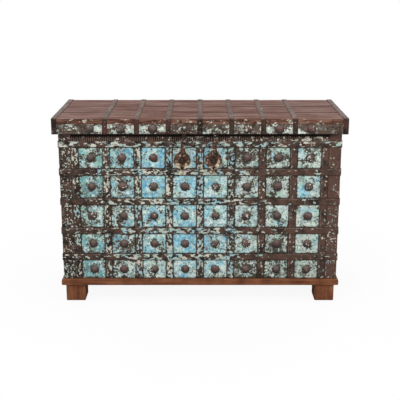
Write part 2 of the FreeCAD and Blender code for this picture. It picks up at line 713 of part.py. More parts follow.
def make_edge_bands():
    """Bands over the lid's ends, bent down over the end grain along the top and the corners."""
    half = LID_WIDTH / 2
    skin = LID_STRAP_THICKNESS
    over = lid_strap(half - EDGE_BAND_WIDTH, half, RIM_Z + LID_STRAP_END_GAP)
    outside = (half, half + skin)
    front = LID_FRONT_Y - skin
    back = BACK_Y + skin
    top = LID_TOP_Z + skin
    flanges = [
        block(outside, (front, back), (top - EDGE_FLANGE_HEIGHT, top)),
        block(outside, (front, front + EDGE_BAND_WIDTH), (LIP_BOTTOM_Z, top)),
        block(outside, (BACK_Y - EDGE_BAND_WIDTH, BACK_Y), (LIP_BOTTOM_Z, top)),
    ]
    band = over.fuse(flanges).removeSplitter()
    save("lid_edge_band_right", band)
    save("lid_edge_band_left", mirrored(band))


def hasp_at(eye_x):
    """A hasp that hangs from its bar: eye, leaning neck, ring with a hole, and spear tip."""
    x = eye_x + HASP_LEAN
    ring_z = HASP_Z - HASP_RING_DROP
    back = HASP_Y + HASP_THICKNESS / 2
    push = vec(0, -HASP_THICKNESS, 0)
    neck_end = ring_z + HASP_RING_RADIUS
    neck = HASP_NECK_WIDTH / 2
    shoulder = HASP_SHOULDER_WIDTH / 2
    top = HASP_EYE_WIDTH / 2
    sink = (HASP_RING_RADIUS - HASP_HOLE_RADIUS) / 2
    outline = [
        vec(eye_x - top, back, HASP_Z),
        vec(eye_x - neck, back, HASP_Z - HASP_SHOULDER_RISE),
        vec(x - neck, back, neck_end + HASP_SHOULDER_RISE),
        vec(x - shoulder, back, neck_end - sink),
        vec(x + shoulder, back, neck_end - sink),
        vec(x + neck, back, neck_end + HASP_SHOULDER_RISE),
        vec(eye_x + neck, back, HASP_Z - HASP_SHOULDER_RISE),
        vec(eye_x + top, back, HASP_Z),
    ]
    tip_top = ring_z - HASP_RING_RADIUS
    tip = HASP_TIP_WIDTH / 2
    waist = tip * HASP_TIP_WAIST_SHARE
    spear = [
        vec(x - tip, back, tip_top + sink),
        vec(x - waist, back, tip_top - HASP_TIP_LENGTH / 3),
        vec(x - tip, back, tip_top - HASP_TIP_LENGTH / 2),
        vec(x, back, tip_top - HASP_TIP_LENGTH),
        vec(x + tip, back, tip_top - HASP_TIP_LENGTH / 2),
        vec(x + waist, back, tip_top - HASP_TIP_LENGTH / 3),
        vec(x + tip, back, tip_top + sink),
    ]
    front = back - HASP_THICKNESS
    ring = flats(vec(x, back, ring_z), vec(x, front, ring_z), HASP_RING_RADIUS, RING_SIDES)
    hole_start = vec(x, back + OVERRUN, ring_z)
    hole_end = vec(x, front - OVERRUN, ring_z)
    hole = flat_hole(hole_start, hole_end, HASP_HOLE_RADIUS, RING_SIDES)
    eye_start = vec(eye_x - top, HASP_Y, HASP_Z)
    eye_end = vec(eye_x + top, HASP_Y, HASP_Z)
    eye = flats(eye_start, eye_end, HASP_EYE_RADIUS, BOSS_SIDES)
    grow = vec(OVERRUN, 0, 0)
    bore = rod(eye_start.sub(grow), eye_end.add(grow), HASP_BAR_RADIUS + HASP_BAR_CLEARANCE)
    hasp = prism(outline, push).fuse([prism(spear, push), ring, eye])
    return hasp.cut([hole, bore]).removeSplitter()


def hasp_bar(x):
    """The staple in the lip that a hasp's eye turns on."""
    deep = LID_FRONT_Y + STAPLE_LEG_DEPTH
    points = [
        vec(x - HASP_BAR_REACH, deep, HASP_Z),
        vec(x - HASP_BAR_REACH, HASP_Y, HASP_Z),
        vec(x + HASP_BAR_REACH, HASP_Y, HASP_Z),
        vec(x + HASP_BAR_REACH, deep, HASP_Z),
    ]
    return bent_rod(points, HASP_BAR_RADIUS, HASP_BAR_BEND, Z_AXIS)


def lock_staple(x):
    """The staple in the front wall that a hasp's ring closes over."""
    deep = BODY_FRONT_Y + LOCK_STAPLE_DEPTH
    high = LOCK_Z + LOCK_STAPLE_SPAN / 2
    low = LOCK_Z - LOCK_STAPLE_SPAN / 2
    points = [vec(x, deep, high), vec(x, LOCK_TIP_Y, high), vec(x, LOCK_TIP_Y, low), vec(x, deep, low)]
    return bent_rod(points, LOCK_STAPLE_RADIUS, LOCK_STAPLE_BEND, X_AXIS)


def make_hasps():
    for name, x in zip(("left", "right"), HASP_MIDDLES):
        save(f"{name}_hasp", hasp_at(x))
    save("hasp_bars", *[hasp_bar(x) for x in HASP_MIDDLES])
    save("lock_staples", *[lock_staple(x) for x in LOCK_MIDDLES])


def handle_eye(side):
    """An eye for the right handle: a bored boss on a shank through a strap into the end wall."""
    y = BODY_MID_Y + side * HANDLE_EYE_SHIFT
    half = HANDLE_EYE_WIDTH / 2
    near = vec(HANDLE_X, y - half, HANDLE_Z)
    far = vec(HANDLE_X, y + half, HANDLE_Z)
    boss = flats(near, far, HANDLE_EYE_RADIUS, BOSS_SIDES)
    deep = HALF_WIDTH - HANDLE_SHANK_DEPTH
    shank = flats(vec(HANDLE_X, y, HANDLE_Z), vec(deep, y, HANDLE_Z), HANDLE_SHANK_RADIUS, ROD_SIDES)
    seat = HALF_WIDTH + STRAP_THICKNESS
    collar_end = vec(seat + HANDLE_COLLAR_THICKNESS, y, HANDLE_Z)
    collar = flats(vec(seat, y, HANDLE_Z), collar_end, HANDLE_COLLAR_RADIUS, BOSS_SIDES)
    grow = vec(0, OVERRUN, 0)
    bore = rod(near.sub(grow), far.add(grow), BAIL_RADIUS + BAIL_CLEARANCE)
    return boss.fuse([shank, collar]).cut(bore).removeSplitter()


def handle_bail():
    """The right handle's bail, hanging down: two pins, two legs and a bar with a swelling grip."""
    leg = HANDLE_EYE_SHIFT - HANDLE_EYE_WIDTH / 2 - BAIL_SIDE_GAP - BAIL_BEND
    pin = HANDLE_EYE_SHIFT + HANDLE_EYE_WIDTH / 2 + BAIL_PIN_END
    low = HANDLE_Z - BAIL_DROP
    places = [(-pin, HANDLE_Z), (-leg, HANDLE_Z), (-leg, low), (leg, low), (leg, HANDLE_Z), (pin, HANDLE_Z)]
    path = eased_path([vec(HANDLE_X, BODY_MID_Y + y, z) for y, z in places], BAIL_BEND)
    radii = [BAIL_RADIUS] * len(path)
    half = len(path) // 2
    reach = (leg - BAIL_BEND) * BAIL_GRIP_SHARE
    for share in (-1, 0, 1):
        swell = BAIL_RADIUS if share else BAIL_GRIP_RADIUS
        path.insert(half + share + 1, vec(HANDLE_X, BODY_MID_Y + share * reach, low))
        radii.insert(half + share + 1, swell)
    return forged_rod(path, radii, X_AXIS)


def make_handles():
    eyes = [handle_eye(side) for side in (-1, 1)]
    bail = handle_bail()
    save("right_handle_eyes", *eyes)
    save("left_handle_eyes", *[mirrored(e) for e in eyes])
    save("right_handle_bail", bail)
    save("left_handle_bail", mirrored(bail))


def main():
    os.makedirs("parts", exist_ok=True)
    make_walls()
    make_posts_and_floor()
    make_plinth()
    make_upright_straps()
    make_bands()
    make_corner_angles()
    make_frieze()
    make_studs()
    make_lid_wood()
    make_lid_straps_and_hinges()
    make_edge_bands()
    make_hasps()
    make_handles()


main()
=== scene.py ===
import json
import math
import random

import bmesh
import bpy
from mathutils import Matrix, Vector, noise

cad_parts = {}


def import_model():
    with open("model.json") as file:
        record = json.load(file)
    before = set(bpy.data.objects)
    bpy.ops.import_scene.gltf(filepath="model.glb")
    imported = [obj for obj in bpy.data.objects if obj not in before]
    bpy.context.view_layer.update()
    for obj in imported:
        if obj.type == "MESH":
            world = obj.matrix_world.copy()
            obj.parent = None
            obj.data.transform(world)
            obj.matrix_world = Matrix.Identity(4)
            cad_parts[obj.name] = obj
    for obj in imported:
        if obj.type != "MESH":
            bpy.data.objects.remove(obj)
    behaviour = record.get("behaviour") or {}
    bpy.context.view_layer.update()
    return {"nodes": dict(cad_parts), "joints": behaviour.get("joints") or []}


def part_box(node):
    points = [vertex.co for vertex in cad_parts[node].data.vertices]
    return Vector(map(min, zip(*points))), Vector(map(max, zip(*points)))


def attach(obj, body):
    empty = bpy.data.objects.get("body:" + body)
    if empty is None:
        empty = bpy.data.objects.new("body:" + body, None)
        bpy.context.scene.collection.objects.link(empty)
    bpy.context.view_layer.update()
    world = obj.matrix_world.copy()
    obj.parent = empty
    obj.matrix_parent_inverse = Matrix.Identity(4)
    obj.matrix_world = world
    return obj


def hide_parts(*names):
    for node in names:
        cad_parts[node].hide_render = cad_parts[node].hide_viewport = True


# The looks of an iron-bound console chest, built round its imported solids. Lengths are in metres.
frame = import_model()

MM = 0.001
X = Vector((1, 0, 0))
Y = Vector((0, 1, 0))
Z = Vector((0, 0, 1))
SIDES = {"left": -1, "right": 1}

# Places no further apart than this count as the same
TOUCH = 0.1 * MM

# Camera, at the photograph's place and angle
CAMERA_DISTANCE = 3.547
CAMERA_HEIGHT = 1.350
CAMERA_PITCH = 15.45
CAMERA_LENS = 77.84

# Studio: each lamp's turn from the front and lift from level in degrees, and its watts
FLOOR_REACH = 14.0
FLOOR_WHITE = 0.86
SHADOW_START = 0.5
SHADOW_REACH = 1.5
SHADOW_GLOW = 0.92
WORLD_STRENGTH = 0.3
LAMP_DISTANCE = 3.6
LAMP_SIZE = 1.9
LAMP_AIM_HEIGHT = 0.45
LAMPS = {
    "key": (-30, 42, 62),
    "fill": (38, 30, 42),
    "top": (20, 82, 18),
    "back_left": (-145, 35, 32),
    "back_right": (145, 35, 32),
}

# Sizes of the patterns in paint, rust and grain
SPECK = 7 * MM
FLECK = 9 * MM
MOTTLE = 14 * MM
FLAKE = 18 * MM
BLOTCH = 48 * MM
CLOUD = 120 * MM
STREAK = 10 * MM
LID_STREAK = 28 * MM
LID_GRAIN = 6 * MM
SEED_STEP = 7.3
BUMP_DEPTH = 0.9 * MM

# Wear, grime, painted shade and painted highlights: how far they reach from edges, studs, staples, seams and
# the strip's top
EDGE_WEAR_REACH = 9 * MM
STRAP_SHADOW_LINE = 5 * MM
RUB_REACH = 10 * MM
STAPLE_BARE_REACH = 24 * MM
SHADED_RIM = 3.5 * MM
EDGE_HIGHLIGHT = 8 * MM
SEAM_LINE = 17 * MM
SEAM_GAP = 4 * MM
TOP_SHADE = 8 * MM
TOP_SHADE_END = 18 * MM
LIP_SHADE = 3 * MM
FRONT_EDGE_DEPTH = 3 * MM

# Where along a face the wear peaks and how far apart, the front's most worn and bluest squares, as column
# and row from the top left, and how worn each panel of the lip is
WEAR_PEAK_SHARE = 0.07
WEAR_WAVE_SHARE = 0.7
WORN_SQUARES = ((1, 3), (5, 0), (5, 4), (6, 3), (7, 0))
BLUE_SQUARES = ((0, 1), (0, 4), (1, 0), (2, 1), (3, 3))
LIP_WEAR_SHARES = (0.3, 0.24, 0.22, 0.5, 0.34, 0.36, 0.2, 0.34)

# Marks of points that carry none, of boards' hidden faces, and of boards outside the squares
UNMARKED = 1.0
BACK_LOOKS = {"worn": 3.0, "dull": 0.0}
BARE_PLACE = {"blue": 0.5, "teal": 0.5, "rub": UNMARKED, "staple": UNMARKED, **BACK_LOOKS}

# Hand-forged iron
EDGE_WOBBLE = 0.8 * MM
WOBBLE_LENGTH = 22 * MM
EDGE_CHAMFER = 0.7 * MM
DENT = 0.35 * MM
DENT_LENGTH = 30 * MM
IRON_STEP = 14 * MM
BEND_CUT = 2.0 * MM
BAND_RAMP = 5.0 * MM
NAIL_RADIUS = 3.2 * MM
NAIL_HEIGHT = 1.6 * MM
NAIL_SEGMENTS = 10
NAIL_RINGS = 3
SHARP_ANGLE = 38

# Studs; the washer's outline is in shares of its radius and thickness
STUD_SEGMENTS = 22
STUD_RINGS = 6
STUD_SHIFT = 0.9 * MM
STUD_DENT_SHARE = 0.07
STUD_SPREAD_SHARE = 0.05
DOME_SHARE = 0.9
PETALS = 8
PETAL_SHARE = 0.06
PETAL_SEGMENTS = 6
WASHER_SHARES = ((1.0, 0.0), (1.0, 0.55), (0.93, 1.0), (0.6, 1.0))
WASHER_LIMIT = 3.0 * MM

# Wood
PLANK_STEP = 24 * MM
PLANK_CHAMFER = 1.2 * MM
HAIRLINE = 0.4 * MM
PLANK_NICK = 1.8 * MM
NICK_LENGTH = 35 * MM
FOOT_CHAMFER = 2.5 * MM
BOARD_DENT = 0.4 * MM
BOARD_DENT_LENGTH = 60 * MM
SQUARE_CUTS = 12
LIP_CUTS = 96
LIP_ROWS = 5
REED_PITCH = 8.3 * MM
REED_DEPTH = 2.4 * MM
REED_CUTS = 6

# Hasps, as shares of the ring's radius, and along the neck and the tip
HASP_HOLE_SHARE = 0.47
HASP_THICK_SHARE = 0.15
HASP_NECK_SHARES = ((0.0, 0.47, 0.7), (0.15, 0.5, 1.0), (0.5, 0.5, 1.2), (0.78, 0.62, 1.0), (1.0, 1.1, 0.9))
HASP_TIP_SHARES = ((0.0, 0.6), (0.3, 0.3), (0.42, 0.42), (0.6, 0.62), (0.8, 0.4), (1.0, 0.05))
HASP_TIP_LEAN_SHARES = {"left": -0.05, "right": -0.25}
HASP_SINK_SHARE = 0.25
HASP_EASE = 1.5 * MM
RING_SEGMENTS = 44
EYE_WALL_SHARE = 0.5

# Rods
ROD_SEGMENTS = 12
BEND_SEGMENTS = 5
ROD_STEP = 4 * MM
BAR_BEND = 4.5 * MM
STAPLE_BEND = 6 * MM
BAIL_RADIUS = 5 * MM
BAIL_BEND = 10 * MM
BAIL_GRIP_RADIUS = 7.4 * MM
BAIL_SIDE_GAP = 1 * MM
BAIL_CLEARANCE = 0.3 * MM
HANDLE_EYE_WIDTH = 12 * MM
HANDLE_EYE = 9 * MM
HANDLE_COLLAR = 13 * MM
HANDLE_COLLAR_THICKNESS = 2 * MM
HANDLE_SHANK = 4.5 * MM
HANDLE_SHANK_DEPTH = 14 * MM

# Hinges and the lid's bands
HINGE_EYE = 7 * MM
HINGE_EYE_HOLE = 3.6 * MM
HINGE_EYE_WIDTH = 9 * MM
HINGE_GAP = 0.5 * MM
LEAF_TIP = 22 * MM
LEAF_TIP_SHARE = 0.45
LEAF_NAIL_SHARES = (0.25, 0.5, 0.75)
LID_NAIL_SHARES = (0.08, 0.36, 0.64, 0.92)
LIP_NAIL_HEIGHT = 9 * MM
EDGE_FLANGE = 22 * MM
STRAP_END_GAP = 1 * MM


def colour(text):
    """The linear colour of a hex text."""
    channels = [int(text[i:i + 2], 16) / 255 for i in (0, 2, 4)]
    linear = [c / 12.92 if c <= 0.04045 else ((c + 0.055) / 1.055) ** 2.4 for c in channels]
    return (*linear, 1.0)


# Paint
CREAM = colour("d7ddd0")
MINT = colour("98b7af")
PALE_BLUE = colour("c2dfe4")
GREY_TEAL = colour("6b888b")
GREY_MINT = colour("aab7b0")
GREY_GREEN = colour("6c766f")
AQUA = colour("9fd0da")
SKY = colour("78b6d2")
DEEP_SKY = colour("4f8aae")
TEAL = colour("649da5")
DEEP_TEAL = colour("406f75")
SEA_GREEN = colour("72a797")
LILAC_GREY = colour("8d9cab")
PALE_GREEN = colour("a6c8b6")
UNDERCOAT = colour("8e9088")
CHIP_GREEN = colour("40483f")
PAINT_SPECK = colour("5a6e70")
LIP_PALE = colour("b6bfb6")
LIP_GREY = colour("7f837b")

# Wood
BARE_DARK = colour("2b2019")
BARE_BROWN = colour("473629")
BARE_GREY = colour("64564a")
LID_DARK = colour("43291f")
LID_RED = colour("653f36")
LID_MAUVE = colour("73594f")
LID_PALE = colour("877068")
LID_EDGE_RED = colour("68463a")
LID_EDGE_LIGHT = colour("7b5c4d")
BASE_DARK = colour("552d18")
BASE_BROWN = colour("73442a")
BASE_LIGHT = colour("865637")
FRIEZE_BLACK = colour("120c07")
FRIEZE_DARK = colour("271d16")
FRIEZE_BROWN = colour("66534a")

# Iron
IRON_BLACK = colour("1d140f")
IRON_BROWN = colour("3b2d25")
IRON_RED = colour("543c32")
IRON_MAROON = colour("4f2c27")
IRON_GREY = colour("695a54")
IRON_PINK = colour("82706a")
STUD_BROWN = colour("56483f")
HASP_BROWN = colour("4a2f22")
RUST = colour("5a3a29")
RUST_ORANGE = colour("965a2c")
BEIGE = colour("b9ac90")
FLECK_CREAM = colour("c8c5b7")
FLECK_MINT = colour("a3b5aa")
FLECK_BLUE = colour("94b9c2")


class Graph:
    """The nodes of a material or a world, with one short call for each kind used here."""

    def __init__(self, name, owners=bpy.data.materials):
        self.owner = owners.new(name)
        self.owner.use_nodes = True
        self.tree = self.owner.node_tree
        self.shader = self.tree.nodes.get("Principled BSDF")
        self.place = self.node("ShaderNodeTexCoord").outputs["Object"]
        self.seed = sum(ord(letter) for letter in name)

    def node(self, kind, inputs=(), **settings):
        made = self.tree.nodes.new(kind)
        for key, value in settings.items():
            setattr(made, key, value)
        for key, value in dict(inputs).items():
            self.feed(made.inputs[key], value)
        return made

    def feed(self, socket, value):
        if isinstance(value, bpy.types.NodeSocket):
            self.tree.links.new(value, socket)
        else:
            socket.default_value = value

    def noise(self, size, detail=3.0, roughness=0.6, stretch=(1, 1, 1)):
        """Cloudy values round one half, with features of that size."""
        self.seed += SEED_STEP
        moved = self.node("ShaderNodeMapping", {0: self.place, 1: (self.seed,) * 3, 3: stretch})
        inputs = {"Vector": moved.outputs[0], "Scale": 1 / size, "Detail": detail, "Roughness": roughness}
        return self.node("ShaderNodeTexNoise", inputs).outputs["Fac"]

    def math(self, operation, *values):
        return self.node("ShaderNodeMath", enumerate(values), operation=operation).outputs[0]

    def total(self, *terms):
        """The sum of sockets times their weights, and of plain numbers."""
        result = sum(term for term in terms if not isinstance(term, tuple))
        for value, weight in (term for term in terms if isinstance(term, tuple)):
            result = self.math("MULTIPLY_ADD", value, weight, result)
        return result

    def product(self, first, second):
        return self.math("MULTIPLY", first, second)

    def rise(self, value, low, high):
        """0 at low and 1 at high, level beyond them."""
        inputs = {"Value": value, "From Min": low, "From Max": high}
        return self.node("ShaderNodeMapRange", inputs, interpolation_type="SMOOTHSTEP").outputs["Result"]

    def near(self, mark, reach):
        """1 where a mark is 0, down to 0 where it is the reach."""
        return self.rise(self.mark(mark), reach, 0.0)

    def mix(self, mask, first, second, share=1.0):
        """The first colour, with the second over it by the mask times the share."""
        amount = mask if share == 1.0 else self.product(mask, share)
        return self.node("ShaderNodeMix", {0: amount, 6: first, 7: second}, data_type="RGBA").outputs[2]

    def ramp(self, value, *stops):
        node = self.node("ShaderNodeValToRGB", {0: value})
        elements = node.color_ramp.elements
        while len(elements) < len(stops):
            elements.new(1.0)
        for element, (position, shade) in zip(elements, stops):
            element.position = position
            element.color = shade
        return node.outputs[0]

    def patches(self, shade, patch, size, level, share=1.0, stretch=(1, 1, 1)):
        """The shade with patches of another one where a noise is above the level."""
        spots = self.rise(self.noise(size, 4, 0.6, stretch), level, level + 0.04)
        return self.mix(spots, shade, patch, share)

    def mark(self, name):
        """A value that the mesh carries at its points."""
        return self.node("ShaderNodeAttribute", attribute_name=name).outputs["Fac"]

    def axis(self, index):
        return self.node("ShaderNodeSeparateXYZ", {0: self.place}).outputs[index]

    def finish(self, shade, roughness, height=None, specular=0.15):
        """Sets the shader's colour, roughness and shine, and a bump where there is a height."""
        values = {"Base Color": shade, "Roughness": roughness, "Specular IOR Level": specular}
        if height is not None:
            bump = self.node("ShaderNodeBump", {"Height": height, "Distance": BUMP_DEPTH, "Strength": 1.0})
            values["Normal"] = bump.outputs[0]
        for name, value in values.items():
            self.feed(self.shader.inputs[name], value)
        return self.owner


def solid_boxes(node):
    """The (low, high) corners of each separate solid in a node, from left to right."""
    mesh = frame["nodes"][node].data
    places = [tuple(round(c / MM, 2) for c in vertex.co) for vertex in mesh.vertices]
    solids = {place: {place} for place in places}
    for edge in mesh.edges:
        small, large = sorted((solids[places[i]] for i in edge.vertices), key=len)
        if small is not large:
            large |= small
            solids.update(dict.fromkeys(small, large))
    boxes = []
    for solid in {id(solid): solid for solid in solids.values()}.values():
        boxes.append(tuple(Vector(end(axis) * MM for axis in zip(*solid)) for end in (min, max)))
    return sorted(boxes, key=lambda box: tuple(box[0]))


def middle(box):
    return (box[0] + box[1]) / 2


def joint_place(name):
    return Vector(next(joint["pos_m"] for joint in frame["joints"] if joint["name"] == name))


class Face:
    """The outer face of upright boards: the way it runs and looks, and the squares between its straps."""

    def __init__(self, along, out, boards, straps=None, studs=None):
        low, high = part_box(boards)
        self.along = along
        self.out = out
        self.boards = boards
        self.strap_node = straps
        self.stud_node = studs
        self.ends = (low.dot(along), high.dot(along))
        self.levels = (low.z, high.z)
        self.reach = max(low.dot(out), high.dot(out))
        self.thickness = abs((high - low).dot(out))
        boxes = solid_boxes(straps) if straps else []
        self.straps = sorted((low.dot(along), high.dot(along)) for low, high in boxes)
        self.squares = [(left[1], right[0]) for left, right in zip(self.straps, self.straps[1:])]

    def place(self, u, z, lift=0.0):
        """The point at u along the face and z up it, lifted off it."""
        return self.along * u + self.out * (self.reach + lift) + Z * z


# Places that the frame gives
WALLS = [
    Face(along, out, f"{name}_planks", f"{name}_upright_straps", f"{name}_studs")
    for name, along, out in (("front", X, -Y), ("left_end", Y, -X), ("right_end", Y, X))
]
FRONT, LEFT, RIGHT = WALLS
LIP = Face(X, -Y, "lid_front_lip")
BANDS = ["rim_band"] + [f"girth_band_{i}" for i in range(1, 5)]
BAND_SPANS = [(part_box(name)[0].z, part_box(name)[1].z) for name in BANDS]
IRON_LOW, IRON_HIGH = (corner.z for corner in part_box("front_upright_straps"))
ROWS = [(below[1], above[0]) for above, below in zip(BAND_SPANS, BAND_SPANS[1:] + [(0, IRON_LOW)])]
PLANK_JOINTS = [sum(span) / 2 for span in BAND_SPANS[3:0:-2]]
HALF_WIDTH = RIGHT.reach
FRONT_Y = -FRONT.reach
BACK_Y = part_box("back_planks")[1].y
RIM_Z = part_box("back_planks")[1].z
STRAP_THICKNESS = FRONT_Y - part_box("front_upright_straps")[0].y
BAND_THICKNESS = FRONT_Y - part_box("rim_band")[0].y - STRAP_THICKNESS
CORNER_LEG = HALF_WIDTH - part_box("corner_angle_back_right")[0].x
LID_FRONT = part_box("lid_front_plank")[0].y
LID_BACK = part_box("lid_back_plank")[1].y
LID_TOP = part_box("lid_front_plank")[1].z
LID_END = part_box("lid_front_plank")[1].x
LIP_LOW = LIP.levels[0]
LID_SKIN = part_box("lid_cross_straps")[1].z - LID_TOP
HINGE = joint_place("lid_hinge")
HINGE_STRAPS = [f"hinge_lid_strap_{name}" for name in ("left", "middle", "right")]
HINGE_LEAVES = [f"hinge_body_leaf_{name}" for name in ("left", "middle", "right")]
LID_STRAP_BOXES = solid_boxes("lid_cross_straps") + [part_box(node) for node in HINGE_STRAPS]
LID_STRAPS = sorted((low.x, high.x) for low, high in LID_STRAP_BOXES)


def along_grain(grain, share):
    """The stretch of a pattern whose grain runs along one axis."""
    return [share if i == grain else 1.0 for i in range(3)]


def bare_wood(g, grain):
    """Old brown wood: its colour, and the streaks along its grain."""
    streak = g.noise(STREAK, 4, 0.6, along_grain(grain, 0.06))
    tone = g.total((streak, 0.7), (g.noise(CLOUD, 2), 0.3))
    return g.ramp(tone, (0.36, BARE_DARK), (0.5, BARE_BROWN), (0.66, BARE_GREY)), streak


def painted_boards():
    """Pale, sky-blue and teal patches of paint, some dull, chipped down to grey undercoat and dark wood."""
    g = Graph("painted_boards")
    mottle = g.noise(MOTTLE, 3, 0.55)
    fresh = g.ramp(mottle, (0.34, GREY_TEAL), (0.42, MINT), (0.52, PALE_BLUE), (0.63, CREAM))
    dull = g.ramp(mottle, (0.31, GREY_GREEN), (0.48, GREY_MINT), (0.67, CREAM))
    sky = g.ramp(mottle, (0.34, DEEP_SKY), (0.46, SKY), (0.62, AQUA))
    teal = g.ramp(mottle, (0.34, DEEP_TEAL), (0.48, TEAL), (0.64, AQUA))
    teal = g.patches(teal, SEA_GREEN, FLAKE, 0.52, 0.8)
    deep = g.mix(g.mark("teal"), sky, teal)
    blotch = g.total((g.noise(BLOTCH, 3), 1.0), (mottle, 0.25), (g.mark("blue"), 0.35))
    dull = g.mix(g.rise(blotch, 0.65, 0.75), dull, AQUA, 0.45)
    pale = g.mix(g.mark("dull"), fresh, dull)
    paint = g.mix(g.rise(blotch, 0.78, 0.82), pale, deep)
    paint = g.patches(paint, LILAC_GREY, FLAKE, 0.58, 0.5)
    paint = g.patches(paint, PALE_GREEN, 2 * FLAKE, 0.54, 0.6)
    paint = g.patches(paint, CREAM, MOTTLE, 0.58, 0.75, (1, 1, 0.5))
    scatter = g.total((g.noise(SPECK), 0.55), (g.noise(FLAKE, 4, 0.65), 0.5), (g.noise(BLOTCH, 2), 0.4))
    near_iron = g.total((g.near("edge", EDGE_WEAR_REACH), 0.05), (g.near("rub", RUB_REACH), 0.02))
    # Bare dark wood behind each hasp ring: wear, and painted shade for the dark hole in the ring
    inside_ring = g.near("staple", RUB_REACH)
    wear = g.total((scatter, 1.0), (g.mark("worn"), 0.13), (near_iron, 1.0), (inside_ring, 0.25))
    speck = g.mix(g.mark("dull"), PAINT_SPECK, CHIP_GREEN)
    paint = g.patches(paint, speck, SPECK, 0.59, 0.95)
    shade = g.mix(g.rise(wear, 0.83, 0.86), paint, UNDERCOAT)
    bare, streak = bare_wood(g, 0)
    chipped = g.rise(wear, 0.87, 0.89)
    shade = g.mix(chipped, shade, g.mix(g.mark("dull"), bare, CHIP_GREEN, 0.6))
    # Painted shadow: a dark line on the boards along the edges of the iron
    shade = g.mix(g.near("edge", STRAP_SHADOW_LINE), shade, IRON_BLACK, 0.9)
    return g.finish(shade, 0.6, g.total((chipped, -0.6), (streak, 0.3), (mottle, 0.2)))


def painted_lip():
    """Pale grey-mint paint, chipped in patches down to dark wood, with painted shade along the lower edge.
    """
    g = Graph("painted_lip")
    paint = g.ramp(g.noise(MOTTLE, 4), (0.36, LIP_GREY), (0.5, LIP_PALE), (0.62, CREAM))
    paint = g.patches(paint, MINT, FLAKE, 0.54, 0.6)
    specks = g.noise(SPECK)
    flakes = g.noise(FLAKE, 4, 0.65, (0.5, 1, 1))
    wear = g.total((specks, 0.45), (flakes, 0.6), (g.noise(BLOTCH, 2), 0.5), (g.mark("worn"), 0.3))
    bare, streak = bare_wood(g, 0)
    bare = g.mix(0.35, bare, IRON_GREY)
    bare = g.patches(bare, IRON_BLACK, FLAKE, 0.54, 0.5)
    bare = g.patches(bare, LIP_GREY, MOTTLE, 0.57, 0.7)
    chipped = g.rise(wear, 0.91, 0.95)
    shade = g.mix(chipped, paint, bare)
    # Painted shade: dark along the lip's lower edge, part of the shadow line under the lid
    shade = g.mix(g.rise(g.mark("low"), LIP_SHADE, LIP_SHADE / 2), shade, BARE_DARK)
    return g.finish(shade, 0.65, g.total((chipped, -0.6), (streak, 0.3)))


def bare_boards(name, grain):
    """Unpainted old boards, with the grain along one axis."""
    g = Graph(name)
    shade, streak = bare_wood(g, grain)
    shade = g.patches(shade, BARE_DARK, FLAKE, 0.6, 0.8, along_grain(grain, 0.03))
    return g.finish(shade, 0.75, streak)


def lid_boards():
    """Worn reddish-brown planks with streaks along the lid, seams dark with dirt and a painted gap shadow,
    and a flecked front edge.
    """
    g = Graph("lid_boards")
    streak = g.noise(LID_STREAK, 4, 0.65, (0.07, 1, 1))
    grain = g.noise(LID_GRAIN, 3, 0.6, (0.05, 1, 1))
    tone = g.total((streak, 0.75), (g.noise(CLOUD, 3, 0.6, (1, 2, 1)), 0.4), (grain, 0.5), -0.33)
    shade = g.ramp(tone, (0.36, LID_DARK), (0.46, LID_RED), (0.56, LID_MAUVE), (0.68, LID_PALE))
    ragged = g.noise(BLOTCH, 3, 0.6, (0.4, 1, 1))
    for seam in (corner.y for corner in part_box("lid_middle_plank")):
        away = g.math("ABSOLUTE", g.math("SUBTRACT", g.axis(1), seam))
        width = g.total((ragged, 4 * SEAM_LINE), -SEAM_LINE)
        # Seams: dirt in the joints, with a black core that is a painted shadow of a gap
        shade = g.mix(g.rise(g.math("DIVIDE", away, width), 1.0, 0.4), shade, LID_DARK, 0.85)
        shade = g.mix(g.rise(away, SEAM_GAP, SEAM_GAP / 2), shade, IRON_BLACK)
    right = g.rise(g.axis(0), -LID_END, LID_END)
    edge_tone = g.total((g.noise(STREAK, 4, 0.6, (0.12, 1, 1)), 1.0), (right, 0.1), -0.05)
    edge = g.ramp(edge_tone, (0.38, LID_DARK), (0.5, LID_EDGE_RED), (0.62, LID_EDGE_LIGHT))
    edge = g.patches(edge, FLECK_CREAM, MOTTLE, 0.58, 0.7, (0.6, 1, 1))
    edge = g.patches(edge, BARE_DARK, MOTTLE, 0.57, 0.7, (0.5, 1, 1))
    shade = g.mix(g.rise(g.axis(1), LID_FRONT + FRONT_EDGE_DEPTH, LID_FRONT), shade, edge)
    return g.finish(shade, 0.7, g.total((streak, 0.5), (grain, 0.5)), 0.1)


def base_wood(name, grain):
    """Newer orange-brown wood of the plinth and feet, with the grain along one axis."""
    g = Graph(name)
    streak = g.noise(STREAK, 4, 0.6, along_grain(grain, 0.05))
    tone = g.total((streak, 0.6), (g.noise(CLOUD / 2, 2), 0.5), -0.05)
    shade = g.ramp(tone, (0.36, BASE_DARK), (0.5, BASE_BROWN), (0.64, BASE_LIGHT))
    return g.finish(shade, 0.55, streak, 0.2)


def frieze_wood():
    """Brown reeded wood, with painted shade in its grooves and a painted shadow under the lid, and cream
    flecks, more to the right.
    """
    g = Graph("frieze_wood")
    cloud = g.noise(FLAKE, 4)
    # Painted shade: darker in the grooves between the reeds, lighter on their crests
    tone = g.total((cloud, 0.6), (g.mark("crest"), 0.5))
    shade = g.ramp(tone, (0.42, FRIEZE_DARK), (0.8, FRIEZE_BROWN))
    right = g.rise(g.axis(0), -HALF_WIDTH, HALF_WIDTH)
    fleck = g.rise(g.total((g.noise(MOTTLE, 3), 1.0), (right, 0.07)), 0.61, 0.65)
    shade = g.mix(fleck, shade, FLECK_CREAM)
    # Painted shadow: near black at the strip's top, under the lid's overhang
    shade = g.mix(g.rise(g.mark("below_top"), TOP_SHADE_END, TOP_SHADE), shade, FRIEZE_BLACK)
    return g.finish(shade, 0.75, cloud, 0.1)


